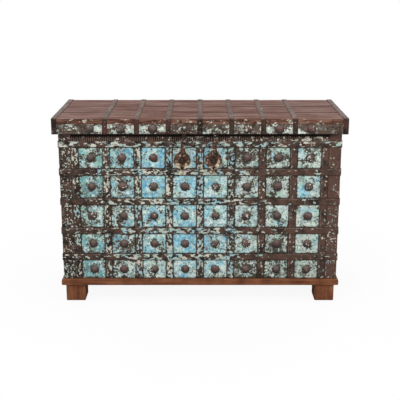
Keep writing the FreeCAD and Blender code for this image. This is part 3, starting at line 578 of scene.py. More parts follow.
def flecked_iron(name, stretch, paint_shares, low_share=0.0, line_share=0.0):
    """Rust-brown iron with a painted highlight along one edge, dark outlines of painted shade and flecks of
    old paint.

    The shares say how much paint is left at the left end, in the middle and at the right end, how much
    more of it lower down, and how strong the fine lines at the right end are.
    """
    g = Graph(name)
    left, centre, right = paint_shares
    to_centre = g.rise(g.axis(0), -HALF_WIDTH, -HALF_WIDTH / 4)
    to_right = g.rise(g.axis(0), HALF_WIDTH / 10, HALF_WIDTH * 0.6)
    low = g.rise(g.axis(2), RIM_Z, IRON_LOW)
    lines = g.product(g.rise(g.noise(SPECK, 3, 0.6, (0.12, 0.12, 1)), 0.4, 0.6), to_right)
    lighter = g.total((to_right, 0.06 + 0.13 * line_share), (lines, 0.12 * line_share), -0.02)
    tone = g.total((g.noise(2 * FLAKE, 4), 1.0), (lighter, 1.0))
    shade = g.ramp(tone, (0.36, IRON_BLACK), (0.47, IRON_BROWN), (0.62, IRON_RED))
    share = g.total((to_centre, centre - left), (to_right, right - centre), (low, low_share), left)
    scatter = g.total((g.noise(FLECK, 3, 0.6, stretch), 0.85), (g.noise(BLOTCH, 2), 0.35))
    kept = g.total((scatter, 1.0), (share, 0.13))
    rim = g.mark("rim")
    fleck = g.product(g.rise(kept, 0.76, 0.795), g.rise(rim, 0.0, SHADED_RIM))
    hue = g.total((g.noise(BLOTCH), 1.0), (to_centre, 0.08), (to_right, -0.08))
    old_paint = g.ramp(hue, (0.46, FLECK_CREAM), (0.58, FLECK_MINT), (0.7, FLECK_BLUE))
    broken = g.rise(g.noise(FLAKE, 4), 0.42, 0.58)
    # Painted highlight: a lighter line along one edge of each strap, the upper edge of a band, broken in
    # places
    painted_highlight = g.product(g.rise(rim, EDGE_HIGHLIGHT, SHADED_RIM), g.rise(g.mark("side"), 0.3, 0.6))
    shade = g.mix(g.product(painted_highlight, broken), shade, IRON_PINK, 0.45)
    shade = g.mix(fleck, shade, old_paint)
    # Painted shade: dark outlines along both edges of each strap
    shade = g.mix(g.near("rim", SHADED_RIM), shade, IRON_BLACK, 0.8)
    return g.finish(shade, 0.62, g.total((g.noise(SPECK, 2), 0.6), (fleck, 0.3)), 0.2)


def lid_iron():
    """The straps on the lid: worn grey-brown on top and darker on the lip."""
    g = Graph("lid_iron")
    cloud = g.noise(2 * FLAKE, 4)
    dark = g.ramp(cloud, (0.38, IRON_BLACK), (0.5, IRON_BROWN), (0.64, IRON_MAROON))
    worn = g.ramp(cloud, (0.36, IRON_BROWN), (0.5, IRON_RED), (0.64, IRON_GREY))
    shade = g.mix(g.rise(g.axis(2), LID_TOP - LID_SKIN, LID_TOP), dark, worn)
    shade = g.patches(shade, FLECK_CREAM, MOTTLE, 0.64, 0.6)
    # Painted shade: darker along the straps' edges
    shade = g.mix(g.near("rim", SHADED_RIM), shade, IRON_BLACK, 0.35)
    return g.finish(shade, 0.6, g.noise(SPECK, 2))


def stud_iron():
    """Studs, brown or maroon, with painted light on top and painted shade below and round the rim, some with
    a little paint left on them.
    """
    g = Graph("stud_iron")
    warm = g.mix(g.mark("warm"), IRON_BROWN, IRON_MAROON)
    # Painted light and shade: dark at the rim and the lower side, lighter towards the top
    upper = g.total((g.mark("upper"), 0.5), (g.mark("height"), 0.3), (g.noise(FLAKE, 4), 1.0))
    shade = g.mix(g.rise(upper, 0.2, 0.85), IRON_BLACK, warm)
    shade = g.mix(g.rise(upper, 0.7, 1.1), shade, STUD_BROWN, 0.75)
    fleck = g.total((g.noise(FLECK, 2), 1.0), (g.mark("paint"), 0.12))
    shade = g.mix(g.rise(fleck, 0.70, 0.73), shade, FLECK_CREAM)
    return g.finish(shade, 0.45, g.noise(SPECK, 2), 0.45)


def hardware_iron():
    """Rusty forged iron with flecks of paint."""
    g = Graph("hardware_iron")
    cloud = g.noise(FLAKE, 4, 0.65)
    shade = g.ramp(cloud, (0.36, IRON_BLACK), (0.5, IRON_RED), (0.6, RUST), (0.72, RUST_ORANGE))
    shade = g.patches(shade, FLECK_CREAM, MOTTLE, 0.6, 0.7)
    return g.finish(shade, 0.68, g.noise(SPECK, 3), 0.2)


def hasp_iron():
    """Forged iron, dark brown at the neck, then rust, and beige towards the tip."""
    g = Graph("hasp_iron")
    low, high = (corner.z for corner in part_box("right_hasp"))
    tone = g.total((g.noise(FLAKE, 4, 0.65), 1.0), (g.rise(g.axis(2), high, low), 0.28), -0.16)
    upper = ((0.36, IRON_BLACK), (0.48, HASP_BROWN), (0.6, RUST))
    shade = g.ramp(tone, *upper, (0.68, BEIGE), (0.77, FLECK_CREAM))
    shade = g.patches(shade, FLECK_CREAM, FLECK, 0.58, 0.8)
    return g.finish(shade, 0.68, g.noise(SPECK, 3), 0.2)


def quads(starts, count, closed=True):
    """Faces between rows of points that begin at those starts; a closed row joins its ends."""
    across = range(count if closed else count - 1)
    pairs = zip(starts, starts[1:])
    return [(a + j, a + (j + 1) % count, b + (j + 1) % count, b + j) for a, b in pairs for j in across]


class Shape:
    """Points and faces of a piece, and the values that its points carry."""

    def __init__(self):
        self.points = []
        self.faces = []
        self.marks = {}

    def add(self, points, faces, marks=()):
        """Adds points, faces over them, and marks: one value for all the points, or a list."""
        base = len(self.points)
        self.points += points
        self.faces += [[base + i for i in face] for face in faces]
        for name, values in dict(marks).items():
            column = self.marks.setdefault(name, [])
            column += [UNMARKED] * (base - len(column))
            column += values if isinstance(values, list) else [values] * len(points)

    def loft(self, loops, ring=False, marks=()):
        """A skin over loops of points: closed at both ends, or from the last loop on to the first."""
        count = len(loops[0])
        starts = [i * count for i in range(len(loops))]
        faces = quads(starts + starts[:ring], count)
        if not ring:
            faces += [range(start, start + count) for start in (starts[0], starts[-1])]
        self.add([point for loop in loops for point in loop], faces, marks)


def placed(name, data):
    """An object in the scene."""
    made = bpy.data.objects.new(name, data)
    bpy.context.scene.collection.objects.link(made)
    return made


def piece(name, shape, material, body, slot, *nodes):
    """A mesh that rides on a body and stands for CAD nodes."""
    mesh = bpy.data.meshes.new(name)
    mesh.from_pydata(shape.points, [], shape.faces)
    for mark, values in shape.marks.items():
        values += [UNMARKED] * (len(shape.points) - len(values))
        mesh.attributes.new(mark, "FLOAT", "POINT").data.foreach_set("value", values)
    solid = bmesh.new()
    solid.from_mesh(mesh)
    bmesh.ops.recalc_face_normals(solid, faces=solid.faces[:])
    solid.to_mesh(mesh)
    solid.free()
    mesh.shade_smooth()
    mesh.set_sharp_from_angle(angle=math.radians(SHARP_ANGLE))
    mesh.materials.append(material)
    made = placed(name, mesh)
    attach(made, body)
    if nodes:
        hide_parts(*nodes)


def forged(node, shape, material, body="carcase", slot="strap_iron"):
    """The forged piece that stands for a node."""
    piece(node + "_forged", shape, material, body, slot, node)


def even(start, end, count):
    """Values from start to end in that many equal steps."""
    return [start + (end - start) * i / count for i in range(count + 1)]


def refined(path, step):
    """The path with points added so that none are further apart than the step."""
    fine = [path[0]]
    for start, end in zip(path, path[1:]):
        count = max(1, math.ceil((end - start).length / step))
        fine += [start.lerp(end, (i + 1) / count) for i in range(count)]
    return fine


def rounded(path, radius, segments=BEND_SEGMENTS):
    """The path with each inner corner turned into a bend of that radius; one segment cuts it off."""
    line = [path[0]]
    for before, turn, after in zip(path, path[1:], path[2:]):
        back = (before - turn).normalized()
        ahead = (after - turn).normalized()
        reach = radius / math.tan(back.angle(ahead) / 2)
        start = turn + back * reach
        end = turn + ahead * reach
        for t in even(0, 1, segments):
            line.append(start * (1 - t) ** 2 + turn * (2 * t * (1 - t)) + end * t ** 2)
    return [*line, path[-1]]


def mitres(path, across):
    """At each point of a path, the way out from it, as long as a mitre there needs."""
    sides = [(end - start).cross(across).normalized() for start, end in zip(path, path[1:])]
    sides = [sides[0], *sides, sides[-1]]
    return [(a + b) / (1 + a.dot(b)) for a, b in zip(sides, sides[1:])]


def wave(place, length):
    """A smooth value between about -1 and 1 that changes over that length."""
    return noise.noise(place / length)


def spokes(axis, count, turn=0.0):
    """Directions square to an axis, evenly round it."""
    first = axis.cross(Z if abs(axis.z) < 0.5 else X).normalized()
    second = axis.cross(first).normalized()
    angles = [2 * math.pi * i / count + turn for i in range(count)]
    return [first * math.cos(angle) + second * math.sin(angle) for angle in angles]


def ribbon(shape, line, across, width, thickness, stations=1):
    """A forged strip along a line on what carries it: chamfered, wavy at its edges and dented.

    It stands out to the side that the line's direction and the across direction give.
    """
    path = refined(line, IRON_STEP)
    half = width / 2
    flat = half - EDGE_CHAMFER
    profile = [(-half, 0), (-half, thickness - EDGE_CHAMFER)]
    profile += [(side, thickness) for side in even(-flat, flat, stations + 1)]
    profile += [(half, thickness - EDGE_CHAMFER), (half, 0)]
    runs = [0.0]
    for start, end in zip(path, path[1:]):
        runs.append(runs[-1] + (end - start).length)
    loops = []
    rims = []
    for point, out, run in zip(path, mitres(path, across), runs):
        loop = []
        for side, lift in profile:
            place = point + across * side
            shift = EDGE_WOBBLE * wave(place, WOBBLE_LENGTH) if abs(side) > flat - TOUCH else 0
            dent = DENT * wave(place, DENT_LENGTH) if lift == thickness else 0
            loop.append(place + across * shift + out * (lift + dent))
            rims.append(min(half - abs(side), run, runs[-1] - run))
        loops.append(loop)
    sides = [side / half for side, lift in profile] * len(path)
    # The rim and side marks carry the straps' painted edge shade and painted highlight
    shape.loft(loops, marks={"rim": rims, "side": sides})


def dome(shape, centre, out, radius, height, segments, rings, marks):
    """A closed, slightly dented dome on a face; the marks given hold for the whole of it."""
    points = []
    for i in range(rings):
        lean = math.pi / 2 * i / rings
        for way in spokes(out, segments):
            spoke = way * (radius * math.cos(lean))
            reach = 1 + STUD_DENT_SHARE * wave(centre + spoke, radius)
            points.append(centre + spoke * reach + out * (height * math.sin(lean) ** 2 * reach))
    tip = len(points)
    last = tip - segments
    points.append(centre + out * height)
    faces = [range(segments), *quads(range(0, tip, segments), segments)]
    faces += [(last + j, last + (j + 1) % segments, tip) for j in range(segments)]
    # The height and upper marks carry the studs' painted light on top and painted shade below
    heights = [(point - centre).dot(out) / height for point in points]
    uppers = [(point - centre).z / radius for point in points]
    shape.add(points, faces, {**marks, "height": heights, "upper": uppers})


def rosette(shape, centre, out, radius, thickness, turn=0.0, marks=()):
    """A thin petalled washer."""
    loops = []
    for reach, lift in WASHER_SHARES:
        loop = []
        for j, way in enumerate(spokes(out, PETALS * PETAL_SEGMENTS, turn)):
            petal = 1 - PETAL_SHARE + PETAL_SHARE * math.cos(2 * math.pi * j / PETAL_SEGMENTS)
            loop.append(centre + way * (radius * reach * petal) + out * (thickness * lift))
        loops.append(loop)
    # Washers are marked as a dome's foot, for the studs' painted shade at the rim
    shape.loft(loops, marks={**dict(marks), "height": 0.0, "upper": 0.0})


def tube(shape, path, radii, normal):
    """A round rod along a path in the plane with that normal, with a radius for each point."""
    turns = [2 * math.pi * j / ROD_SEGMENTS for j in range(ROD_SEGMENTS)]
    loops = []
    for point, radius, out in zip(path, radii, mitres(path, normal)):
        loops.append([point + (out * math.cos(t) + normal * math.sin(t)) * radius for t in turns])
    shape.loft(loops)


def eye_ring(shape, centre, axis, width, radius, hole):
    """A rolled eye round an axis, with eased edges."""
    ease = (radius - hole) / 4
    half = width / 2
    profile = [(-half, hole), (-half, radius - ease), (ease - half, radius)]
    profile += [(-along, reach) for along, reach in reversed(profile)]
    loops = []
    for spoke in spokes(axis, 2 * ROD_SEGMENTS):
        loops.append([centre + axis * along + spoke * reach for along, reach in profile])
    shape.loft(loops, ring=True)


def flat_bar(shape, stations, face, ease, ring=False):
    """A flat bar through (centre, across, width, thickness) stations, square to the face direction."""
    loops = []
    for centre, across, width, thickness in stations:
        cut = min(ease, width / 4, thickness / 4)
        outer, inner = (across * (width / 2 - inset) for inset in (0, cut))
        skin, side = (face * (thickness / 2 - inset) for inset in (0, cut))
        half = [outer + side, inner + skin, skin - inner, side - outer]
        loops.append([centre + way for way in half] + [centre - way for way in half])
    shape.loft(loops, ring)


def plank(shape, low, high, chamfer=PLANK_CHAMFER):
    """A board with worn edges, lofted along its longest side."""
    size = high - low
    along = max(range(3), key=lambda i: size[i])
    p, q = [i for i in range(3) if i != along]
    count = max(2, math.ceil(size[along] / PLANK_STEP))
    inner = even(low[along] + chamfer, high[along] - chamfer, count)
    loops = []
    for place, inset in [(low[along], chamfer), *[(s, 0.0) for s in inner], (high[along], chamfer)]:
        loop = []
        for side_p, side_q in ((-1, -1), (1, -1), (1, 1), (-1, 1)):
            corner = middle((low, high))
            corner[along] = place
            corner[p] += side_p * (size[p] / 2 - inset)
            corner[q] += side_q * (size[q] / 2 - inset)
            cut = chamfer + PLANK_NICK * max(0.0, wave(corner, NICK_LENGTH)) ** 2
            turn = [corner.copy(), corner.copy()]
            turn[0][p] -= side_p * cut
            turn[1][q] -= side_q * cut
            loop += turn if side_p != side_q else turn[::-1]
        loops.append(loop)
    shape.loft(loops)


def cuts(spans, low, high):
    """Grid lines over spans and at the ends, from low to high."""
    lines = {low, high}.union(*[even(start, end, SQUARE_CUTS) for start, end in spans])
    return sorted(line for line in lines if low <= line <= high)


def span_at(spans, value):
    """The number of the span that holds the value, or None."""
    return next((i for i, (low, high) in enumerate(spans) if low - TOUCH <= value <= high + TOUCH), None)


def slab(shape, face, us, zs, looks):
    """A board with a gridded outer face; looks gives the marks of a point of that face."""
    grid = [(u, z) for z in zs for u in us]
    points = [face.place(u, z, BOARD_DENT * wave(face.place(u, z), BOARD_DENT_LENGTH)) for u, z in grid]
    width = len(us)
    start = len(grid)
    top = start - width
    border = [*range(width), *range(2 * width - 1, start, width)]
    border += [*range(start - 2, top - 1, -1), *range(top - width, 0, -width)]
    count = len(border)
    points += [points[i] - face.out * face.thickness for i in border]
    faces = quads(range(0, start, width), width, closed=False)
    faces += [(border[i], start + i, start + (i + 1) % count, border[(i + 1) % count]) for i in range(count)]
    faces.append(range(start, start + count))
    seen = [looks(u, z) for u, z in grid]
    hidden = [{name: BACK_LOOKS.get(name, UNMARKED) for name in seen[0]}] * count
    shape.add(points, faces, {name: [look[name] for look in seen + hidden] for name in seen[0]})


def square_looks(wall):
    """How blue, teal, dull and worn each square of a wall is: a drift over the wall, with chance added."""
    chance = random.Random(wall.stud_node)
    table = {}
    for row in range(len(ROWS)):
        for column in range(len(wall.squares)):
            square = (column, row) if wall is FRONT else None
            across = column / (len(wall.squares) - 1)
            left = max(0.0, 1 - 3.5 * across)
            right = min(1.0, max(0.0, 4.5 * across - 2.4))
            bottom = (row / (len(ROWS) - 1)) ** 4
            wear = math.cos(2 * math.pi * (across - WEAR_PEAK_SHARE) / WEAR_WAVE_SHARE)
            blue = 0.54 - 0.42 * right - 0.25 * bottom + 0.4 * (square in BLUE_SQUARES)
            worn = 0.43 + 0.28 * wear + 0.06 * left + 0.1 * right + 0.35 * (square in WORN_SQUARES)
            table[column, row] = {
                "blue": blue + chance.uniform(-0.2, 0.2),
                "teal": min(1.0, left + chance.uniform(0, 0.3)),
                "dull": min(1.0, 0.25 * left + 0.7 * right + 0.35 * bottom + chance.uniform(0, 0.2)),
                "worn": worn + 0.3 * chance.random() ** 2,
            }
    return table


def painted_wall(wall, material):
    """A wall's planks, with paint that differs from square to square, worn by iron, studs and hasps."""
    table = square_looks(wall)
    rubs = []
    for low, high in solid_boxes(wall.stud_node):
        rubs.append((middle((low, high)).dot(wall.along), middle((low, high)).z, (high.z - low.z) / 2))
    boxes = solid_boxes("lock_staples") if wall is FRONT else []
    staples = [(middle(box).x, middle(box).z, STAPLE_BARE_REACH) for box in boxes]

    def nearest(places, u, z):
        return min((math.hypot(u - x, z - y) - radius for x, y, radius in places), default=UNMARKED)

    def looks(u, z):
        column = span_at(wall.squares, u)
        row = span_at(ROWS, z)
        if column is None or row is None:
            return {**BARE_PLACE, "edge": UNMARKED if z > IRON_HIGH else 0.0}
        left, right = wall.squares[column]
        low, high = ROWS[row]
        marks = {"edge": min(u - left, right - u, z - low, high - z)}
        marks |= {"rub": nearest(rubs, u, z), "staple": nearest(staples, u, z)}
        return {**table[column, row], **marks}

    shape = Shape()
    levels = [wall.levels[0], *PLANK_JOINTS, wall.levels[1]]
    for low, high in zip(levels, levels[1:]):
        slab(shape, wall, cuts(wall.squares, *wall.ends), cuts(ROWS, low, high - HAIRLINE), looks)
    piece(wall.boards + "_painted", shape, material, "carcase", "painted_boards", wall.boards)


def lid_lip(material):
    """The painted front lip, with panels between the straps that are worn by different amounts."""
    left, right = LIP.ends
    low, high = LIP.levels
    edges = [left, *[sum(strap) / 2 for strap in LID_STRAPS], right]
    panels = list(zip(edges, edges[1:]))

    def looks(u, z):
        end = u / right
        number = span_at(panels, u)
        start, stop = panels[number]
        beside = abs(2 * u - start - stop) / (stop - start)
        worn = LIP_WEAR_SHARES[number % len(LIP_WEAR_SHARES)] + 0.28 * (1 - beside ** 2)
        worn += (0.7 if end > 0 else 0.15) * end ** 6 + 0.3 * ((z - low) / (high - low)) ** 3
        return {"worn": worn, "low": z - low}

    shape = Shape()
    slab(shape, LIP, even(left, right, LIP_CUTS), even(low, high, LIP_ROWS), looks)
    piece("lid_front_lip_painted", shape, material, "lid", "painted_lip", "lid_front_lip")


def upright_straps(wall, material):
    shape = Shape()
    for low, high in wall.straps:
        line = [wall.place((low + high) / 2, z) for z in (IRON_LOW, IRON_HIGH)]
        ribbon(shape, line, wall.out.cross(Z), high - low, STRAP_THICKNESS)
    forged(wall.strap_node, shape, material)


def band_line(z):
    """The line of a band on the walls, from the back left corner round the front to the back right one."""
    side = HALF_WIDTH + STRAP_THICKNESS
    leg = HALF_WIDTH - CORNER_LEG
    front = FRONT_Y - STRAP_THICKNESS
    back = BACK_Y + STRAP_THICKNESS

    def steps(wall):
        line = []
        for low, high in wall.squares:
            line += [wall.place(low, z, STRAP_THICKNESS), wall.place(low + BAND_RAMP, z)]
            line += [wall.place(high - BAND_RAMP, z), wall.place(high, z, STRAP_THICKNESS)]
        return line

    def corners(*places):
        return [Vector((x, y, z)) for x, y in places]

    line = corners((-leg, back), (-side, back)) + steps(LEFT)[::-1]
    line += corners((-side, front)) + steps(FRONT) + corners((side, front))
    return line + steps(RIGHT) + corners((side, back), (leg, back))


def bands(rim_iron, girth_iron):
    for name, (low, high) in zip(BANDS, BAND_SPANS):
        shape = Shape()
        ribbon(shape, band_line((low + high) / 2), Z, high - low, BAND_THICKNESS)
        forged(name, shape, rim_iron if name == "rim_band" else girth_iron)


def corner_angles(material):
    for side, right in SIDES.items():
        for row, back, y in (("front", -1, FRONT_Y), ("back", 1, BACK_Y)):
            node = f"corner_angle_{row}_{side}"
            low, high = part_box(node)
            height = high.z - low.z
            corner = Vector((right * HALF_WIDTH, y, (low.z + high.z) / 2))
            line = [corner - X * (right * CORNER_LEG), corner, corner - Y * (back * CORNER_LEG)]
            shape = Shape()
            ribbon(shape, line[::-right * back], Z, height, STRAP_THICKNESS, round(height / IRON_STEP))
            forged(node, shape, material)


def studs(node, out, body, material):
    """Hammered domes on petalled washers."""

    def depth(box):
        return abs((box[1] - box[0]).dot(out))

    chance = random.Random(node)
    shape = Shape()
    boxes = solid_boxes(node)
    heads = [box for box in boxes if depth(box) >= WASHER_LIMIT]
    washer = next(box for box in boxes if depth(box) < WASHER_LIMIT)
    radius = (washer[1].z - washer[0].z) / 2
    height = depth(heads[0])
    for box in heads:
        centre = middle(box) - out * (height / 2)
        shift = Vector([chance.uniform(-STUD_SHIFT, STUD_SHIFT) for _ in range(3)])
        centre += shift - out * shift.dot(out)
        size = radius * (1 + STUD_SPREAD_SHARE * chance.uniform(-1, 1))
        marks = {"warm": chance.random(), "paint": chance.random() ** 3}
        rosette(shape, centre - out * depth(washer), out, size, depth(washer), chance.random(), marks)
        dome(shape, centre, out, size * DOME_SHARE, height, STUD_SEGMENTS, STUD_RINGS, marks)
    piece(node + "_hammered", shape, material, body, "stud_iron", node)


def reeded_strip(shape, start, end, out, low, high, thickness):
    """A strip of upright reeds from start to end."""
    run = end - start
    count = round(run.length / REED_PITCH) * REED_CUTS
    loops = []
    crests = []
    for i in range(count + 1):
        swell = abs(math.sin(math.pi * i / REED_CUTS))
        base = start + run * (i / count)
        front = base + out * (thickness - REED_DEPTH * (1 - swell))
        loops.append([base + Z * low, front + Z * low, front + Z * high, base + Z * high])
        crests += [swell] * 4
    depths = [high - low, high - low, 0.0, 0.0] * len(loops)
    # The crest and below_top marks carry the frieze's painted shade in the grooves and its painted shadow
    # under the lid
    shape.loft(loops, marks={"crest": crests, "below_top": depths})


def frieze(material):
    """The reeded strips on the front and the ends."""
    shape = Shape()
    low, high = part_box("frieze_strips")
    leg = HALF_WIDTH - CORNER_LEG
    runs = [(Vector((-leg, FRONT_Y, 0)), Vector((leg, FRONT_Y, 0)), -Y)]
    for side in SIDES.values():
        x = side * HALF_WIDTH
        runs.append((Vector((x, FRONT_Y + CORNER_LEG, 0)), Vector((x, BACK_Y - CORNER_LEG, 0)), X * side))
    for start, end, out in runs:
        reeded_strip(shape, start, end, out, low.z, high.z, high.x - HALF_WIDTH)
    piece("reeded_strips", shape, material, "carcase", "frieze_wood", "frieze_strips")


def board_boxes(node):
    """The boards of a node, with those that touch told apart."""
    low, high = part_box(node)
    if node == "back_planks":
        axis = 2
        levels = [low.z, *PLANK_JOINTS, high.z]
    elif node == "floor_planks":
        axis = 0
        levels = sorted({round(vertex.co.x, 4) for vertex in frame["nodes"][node].data.vertices})
    else:
        return solid_boxes(node)
    boxes = []
    for start, end in zip(levels, levels[1:]):
        boxes.append((low.copy(), high.copy()))
        boxes[-1][0][axis] = start
        boxes[-1][1][axis] = end - HAIRLINE
    return boxes


def boards(node, material, body, slot, chamfer=PLANK_CHAMFER):
    shape = Shape()
    for low, high in board_boxes(node):
        plank(shape, low, high, chamfer)
    piece(node + "_worn", shape, material, body, slot, node)


def dress(node, material):
    """Puts a material on a CAD node that shows as it is."""
    materials = frame["nodes"][node].data.materials
    materials.clear()
    materials.append(material)


def wood_pieces():
    """The plain boards, the lid's planks, the feet and the plinth."""
    deep = bare_boards("bare_boards_deep", 1)
    upright = bare_boards("bare_boards_up", 2)
    boards("back_planks", bare_boards("bare_boards_along", 0), "carcase", "bare_boards")
    boards("floor_planks", deep, "carcase", "bare_boards")
    boards("corner_posts", upright, "carcase", "bare_boards")
    boards("lid_battens", deep, "lid", "bare_boards")
    for side in SIDES:
        boards(f"lid_{side}_lip", deep, "lid", "painted_lip")
    top = lid_boards()
    for row in ("front", "middle", "back"):
        boards(f"lid_{row}_plank", top, "lid", "lid_boards")
    foot = base_wood("base_wood_up", 2)
    rail = base_wood("base_wood_along", 0)
    end_rail = base_wood("base_wood_deep", 1)
    for row in ("front", "back"):
        dress(f"plinth_{row}_rail", rail)
        for side in SIDES:
            boards(f"foot_{row}_{side}", foot, "carcase", "base_wood", FOOT_CHAMFER)
    for side in SIDES:
        dress(f"plinth_{side}_rail", end_rail)
    dress("foot_dowels", upright)


def over_lid(x, back_low):
    """The line of a strap over the lid, from the lip's bottom to a level behind the lid."""
    places = [(LID_FRONT, LIP_LOW), (LID_FRONT, LID_TOP), (LID_BACK, LID_TOP), (LID_BACK, back_low)]
    return rounded([Vector((x, y, z)) for y, z in places], BEND_CUT, 1)


def lid_straps(material):
    """The straps over the lid, and the three that end in the hinges' eyes."""
    shape = Shape()
    for box in solid_boxes("lid_cross_straps"):
        ribbon(shape, over_lid(middle(box).x, RIM_Z + STRAP_END_GAP), -X, box[1].x - box[0].x, LID_SKIN)
    forged("lid_cross_straps", shape, material, "lid")
    shoulder = RIM_Z + HINGE_EYE + HINGE_GAP
    for node in HINGE_STRAPS:
        low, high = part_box(node)
        x = (low.x + high.x) / 2
        shape = Shape()
        ribbon(shape, over_lid(x, shoulder), -X, high.x - low.x, LID_SKIN)
        ribbon(shape, [Vector((x, LID_BACK, z)) for z in (shoulder, RIM_Z)], -X, HINGE_EYE_WIDTH, LID_SKIN)
        eye_ring(shape, Vector((x, HINGE.y, HINGE.z)), X, HINGE_EYE_WIDTH, HINGE_EYE, HINGE_EYE_HOLE)
        forged(node, shape, material, "lid")


def edge_bands(material):
    """The bands over the lid's ends: a strip over the top, a flange along the end, and corner pieces."""
    top = LID_TOP + LID_SKIN
    front = LID_FRONT - LID_SKIN
    below = top - EDGE_FLANGE
    for name, side in SIDES.items():
        node = f"lid_edge_band_{name}"
        low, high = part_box(node)
        width = high.x - low.x - LID_SKIN
        shape = Shape()
        ribbon(shape, over_lid(side * (LID_END - width / 2), RIM_Z + STRAP_END_GAP), -X, width, LID_SKIN)
        strips = [
            (front, LID_BACK + LID_SKIN, below, top),
            (front, front + width, LIP_LOW, below - HAIRLINE),
            (LID_BACK - width, LID_BACK, RIM_Z + STRAP_END_GAP, below - HAIRLINE),
        ]
        for start, end, bottom, head in strips:
            line = [Vector((side * LID_END, y, (bottom + head) / 2)) for y in (start, end)]
            ribbon(shape, line[::side], Z, head - bottom, LID_SKIN)
        forged(node, shape, material, "lid")


def back_bar(shape, x, stations):
    """A flat bar down the back wall, through stations of a level and a width."""
    y = BACK_Y + LID_SKIN / 2
    flat_bar(shape, [(Vector((x, y, z)), X, wide, LID_SKIN) for z, wide in stations], Y, EDGE_CHAMFER)


def hinge_leaves(material):
    """The leaves on the back wall, each with two eyes beside the lid's."""
    shoulder = HINGE.z - HINGE_EYE - HINGE_GAP
    for node in HINGE_LEAVES:
        low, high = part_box(node)
        x = (low.x + high.x) / 2
        width = high.x - low.x
        eye_width = (width - HINGE_EYE_WIDTH) / 2 - HINGE_GAP
        shape = Shape()
        back_bar(shape, x, [(shoulder, width), (low.z + LEAF_TIP, width), (low.z, width * LEAF_TIP_SHARE)])
        for side in SIDES.values():
            eye = Vector((x + side * (width - eye_width) / 2, HINGE.y, HINGE.z))
            back_bar(shape, eye.x, [(HINGE.z, eye_width), (shoulder - EDGE_CHAMFER, eye_width)])
            eye_ring(shape, eye, X, eye_width, HINGE_EYE, HINGE_EYE_HOLE)
        forged(node, shape, material, slot="hardware_iron")


def hasp(side, staple, material):
    """A forged hasp: rolled eye, leaning neck, broad ring and spear tip."""
    node = f"{side}_hasp"
    low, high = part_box(node)
    eye = joint_place(f"{side}_hasp_hinge")
    centre = Vector(((low.x + high.x) / 2, eye.y, middle(staple).z))
    radius = (high.x - low.x) / 2
    hole = radius * HASP_HOLE_SHARE
    thick = radius * HASP_THICK_SHARE
    joined = Z * (radius - radius * HASP_SINK_SHARE)
    eye_radius = (high.y - low.y) / 2
    shape = Shape()
    eye_ring(shape, eye, X, radius * HASP_NECK_SHARES[0][1], eye_radius, eye_radius * EYE_WALL_SHARE)
    start = eye - Z * (eye_radius * (1 + EYE_WALL_SHARE) / 2)
    end = centre + joined
    neck = [(start.lerp(end, down), X, radius * wide, thick * deep) for down, wide, deep in HASP_NECK_SHARES]
    flat_bar(shape, neck, Y, HASP_EASE)
    reach = (radius + hole) / 2
    ring = [(centre + way * reach, way, radius - hole, thick) for way in spokes(Y, RING_SEGMENTS)]
    flat_bar(shape, ring, Y, HASP_EASE, ring=True)
    foot = centre - joined
    lean = X * (radius * HASP_TIP_LEAN_SHARES[side]) - Z * (foot.z - low.z)
    tip = [(foot + lean * down, X, radius * wide, thick) for down, wide in HASP_TIP_SHARES]
    flat_bar(shape, tip, Y, HASP_EASE)
    forged(node, shape, material, node, "hardware_iron")


def staples(node, run, normal, bend, material, body):
    """Rods bent to a U in the plane with that normal, with their backs along the run."""
    shape = Shape()
    for low, high in solid_boxes(node):
        size = high - low
        radius = size.dot(normal) / 2
        start = low + (normal + run) * radius
        end = start + run * (size.dot(run) - 2 * radius)
        front = low.y + radius
        places = ((start, high.y), (start, front), (end, front), (end, high.y))
        path = rounded([Vector((place.x, y, place.z)) for place, y in places], bend)
        tube(shape, path, [radius] * len(path), normal)
    forged(node, shape, material, body, "hardware_iron")


def handle_eyes(side, out, material):
    """Two rolled eyes on petalled plates."""
    node = f"{side}_handle_eyes"
    axis = joint_place(f"{side}_handle_hinge")
    hole = BAIL_RADIUS + BAIL_CLEARANCE
    shape = Shape()
    for box in solid_boxes(node):
        centre = Vector((axis.x, middle(box).y, axis.z))
        eye_ring(shape, centre, Y, HANDLE_EYE_WIDTH, HANDLE_EYE, hole)
        seat = centre + out * (HALF_WIDTH + STRAP_THICKNESS - abs(axis.x))
        rosette(shape, seat, out, HANDLE_COLLAR, HANDLE_COLLAR_THICKNESS)
        deep = centre + out * (HALF_WIDTH - HANDLE_SHANK_DEPTH - abs(axis.x))
        tube(shape, [deep, centre - out * ((HANDLE_EYE + hole) / 2)], [HANDLE_SHANK] * 2, Z)
    forged(node, shape, material, slot="hardware_iron")


def handle_bail(side, material):
    """A bail with pins through the eyes and a swelling grip."""
    node = f"{side}_handle_bail"
    axis = joint_place(f"{side}_handle_hinge")
    low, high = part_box(node)
    eye = max(middle(box).y for box in solid_boxes(f"{side}_handle_eyes")) - axis.y
    leg = eye - HANDLE_EYE_WIDTH / 2 - BAIL_SIDE_GAP - BAIL_BEND
    pin = high.y - axis.y
    bottom = low.z + BAIL_RADIUS
    places = [(-pin, axis.z), (-leg, axis.z), (-leg, bottom), (leg, bottom), (leg, axis.z), (pin, axis.z)]
    path = refined(rounded([Vector((axis.x, axis.y + y, z)) for y, z in places], BAIL_BEND), ROD_STEP)
    radii = []
    for point in path:
        share = min(1.0, abs(point.y - axis.y) / (leg - BAIL_BEND))
        swell = math.cos(math.pi / 2 * share) if point.z < bottom + TOUCH else 0.0
        radii.append(BAIL_RADIUS + (BAIL_GRIP_RADIUS - BAIL_RADIUS) * swell)
    shape = Shape()
    tube(shape, path, radii, X)
    forged(node, shape, material, f"{side}_handle", "hardware_iron")


def nail(shape, place, out):
    dome(shape, place, out, NAIL_RADIUS, NAIL_HEIGHT, NAIL_SEGMENTS, NAIL_RINGS, {"warm": 0.3, "paint": 0.0})


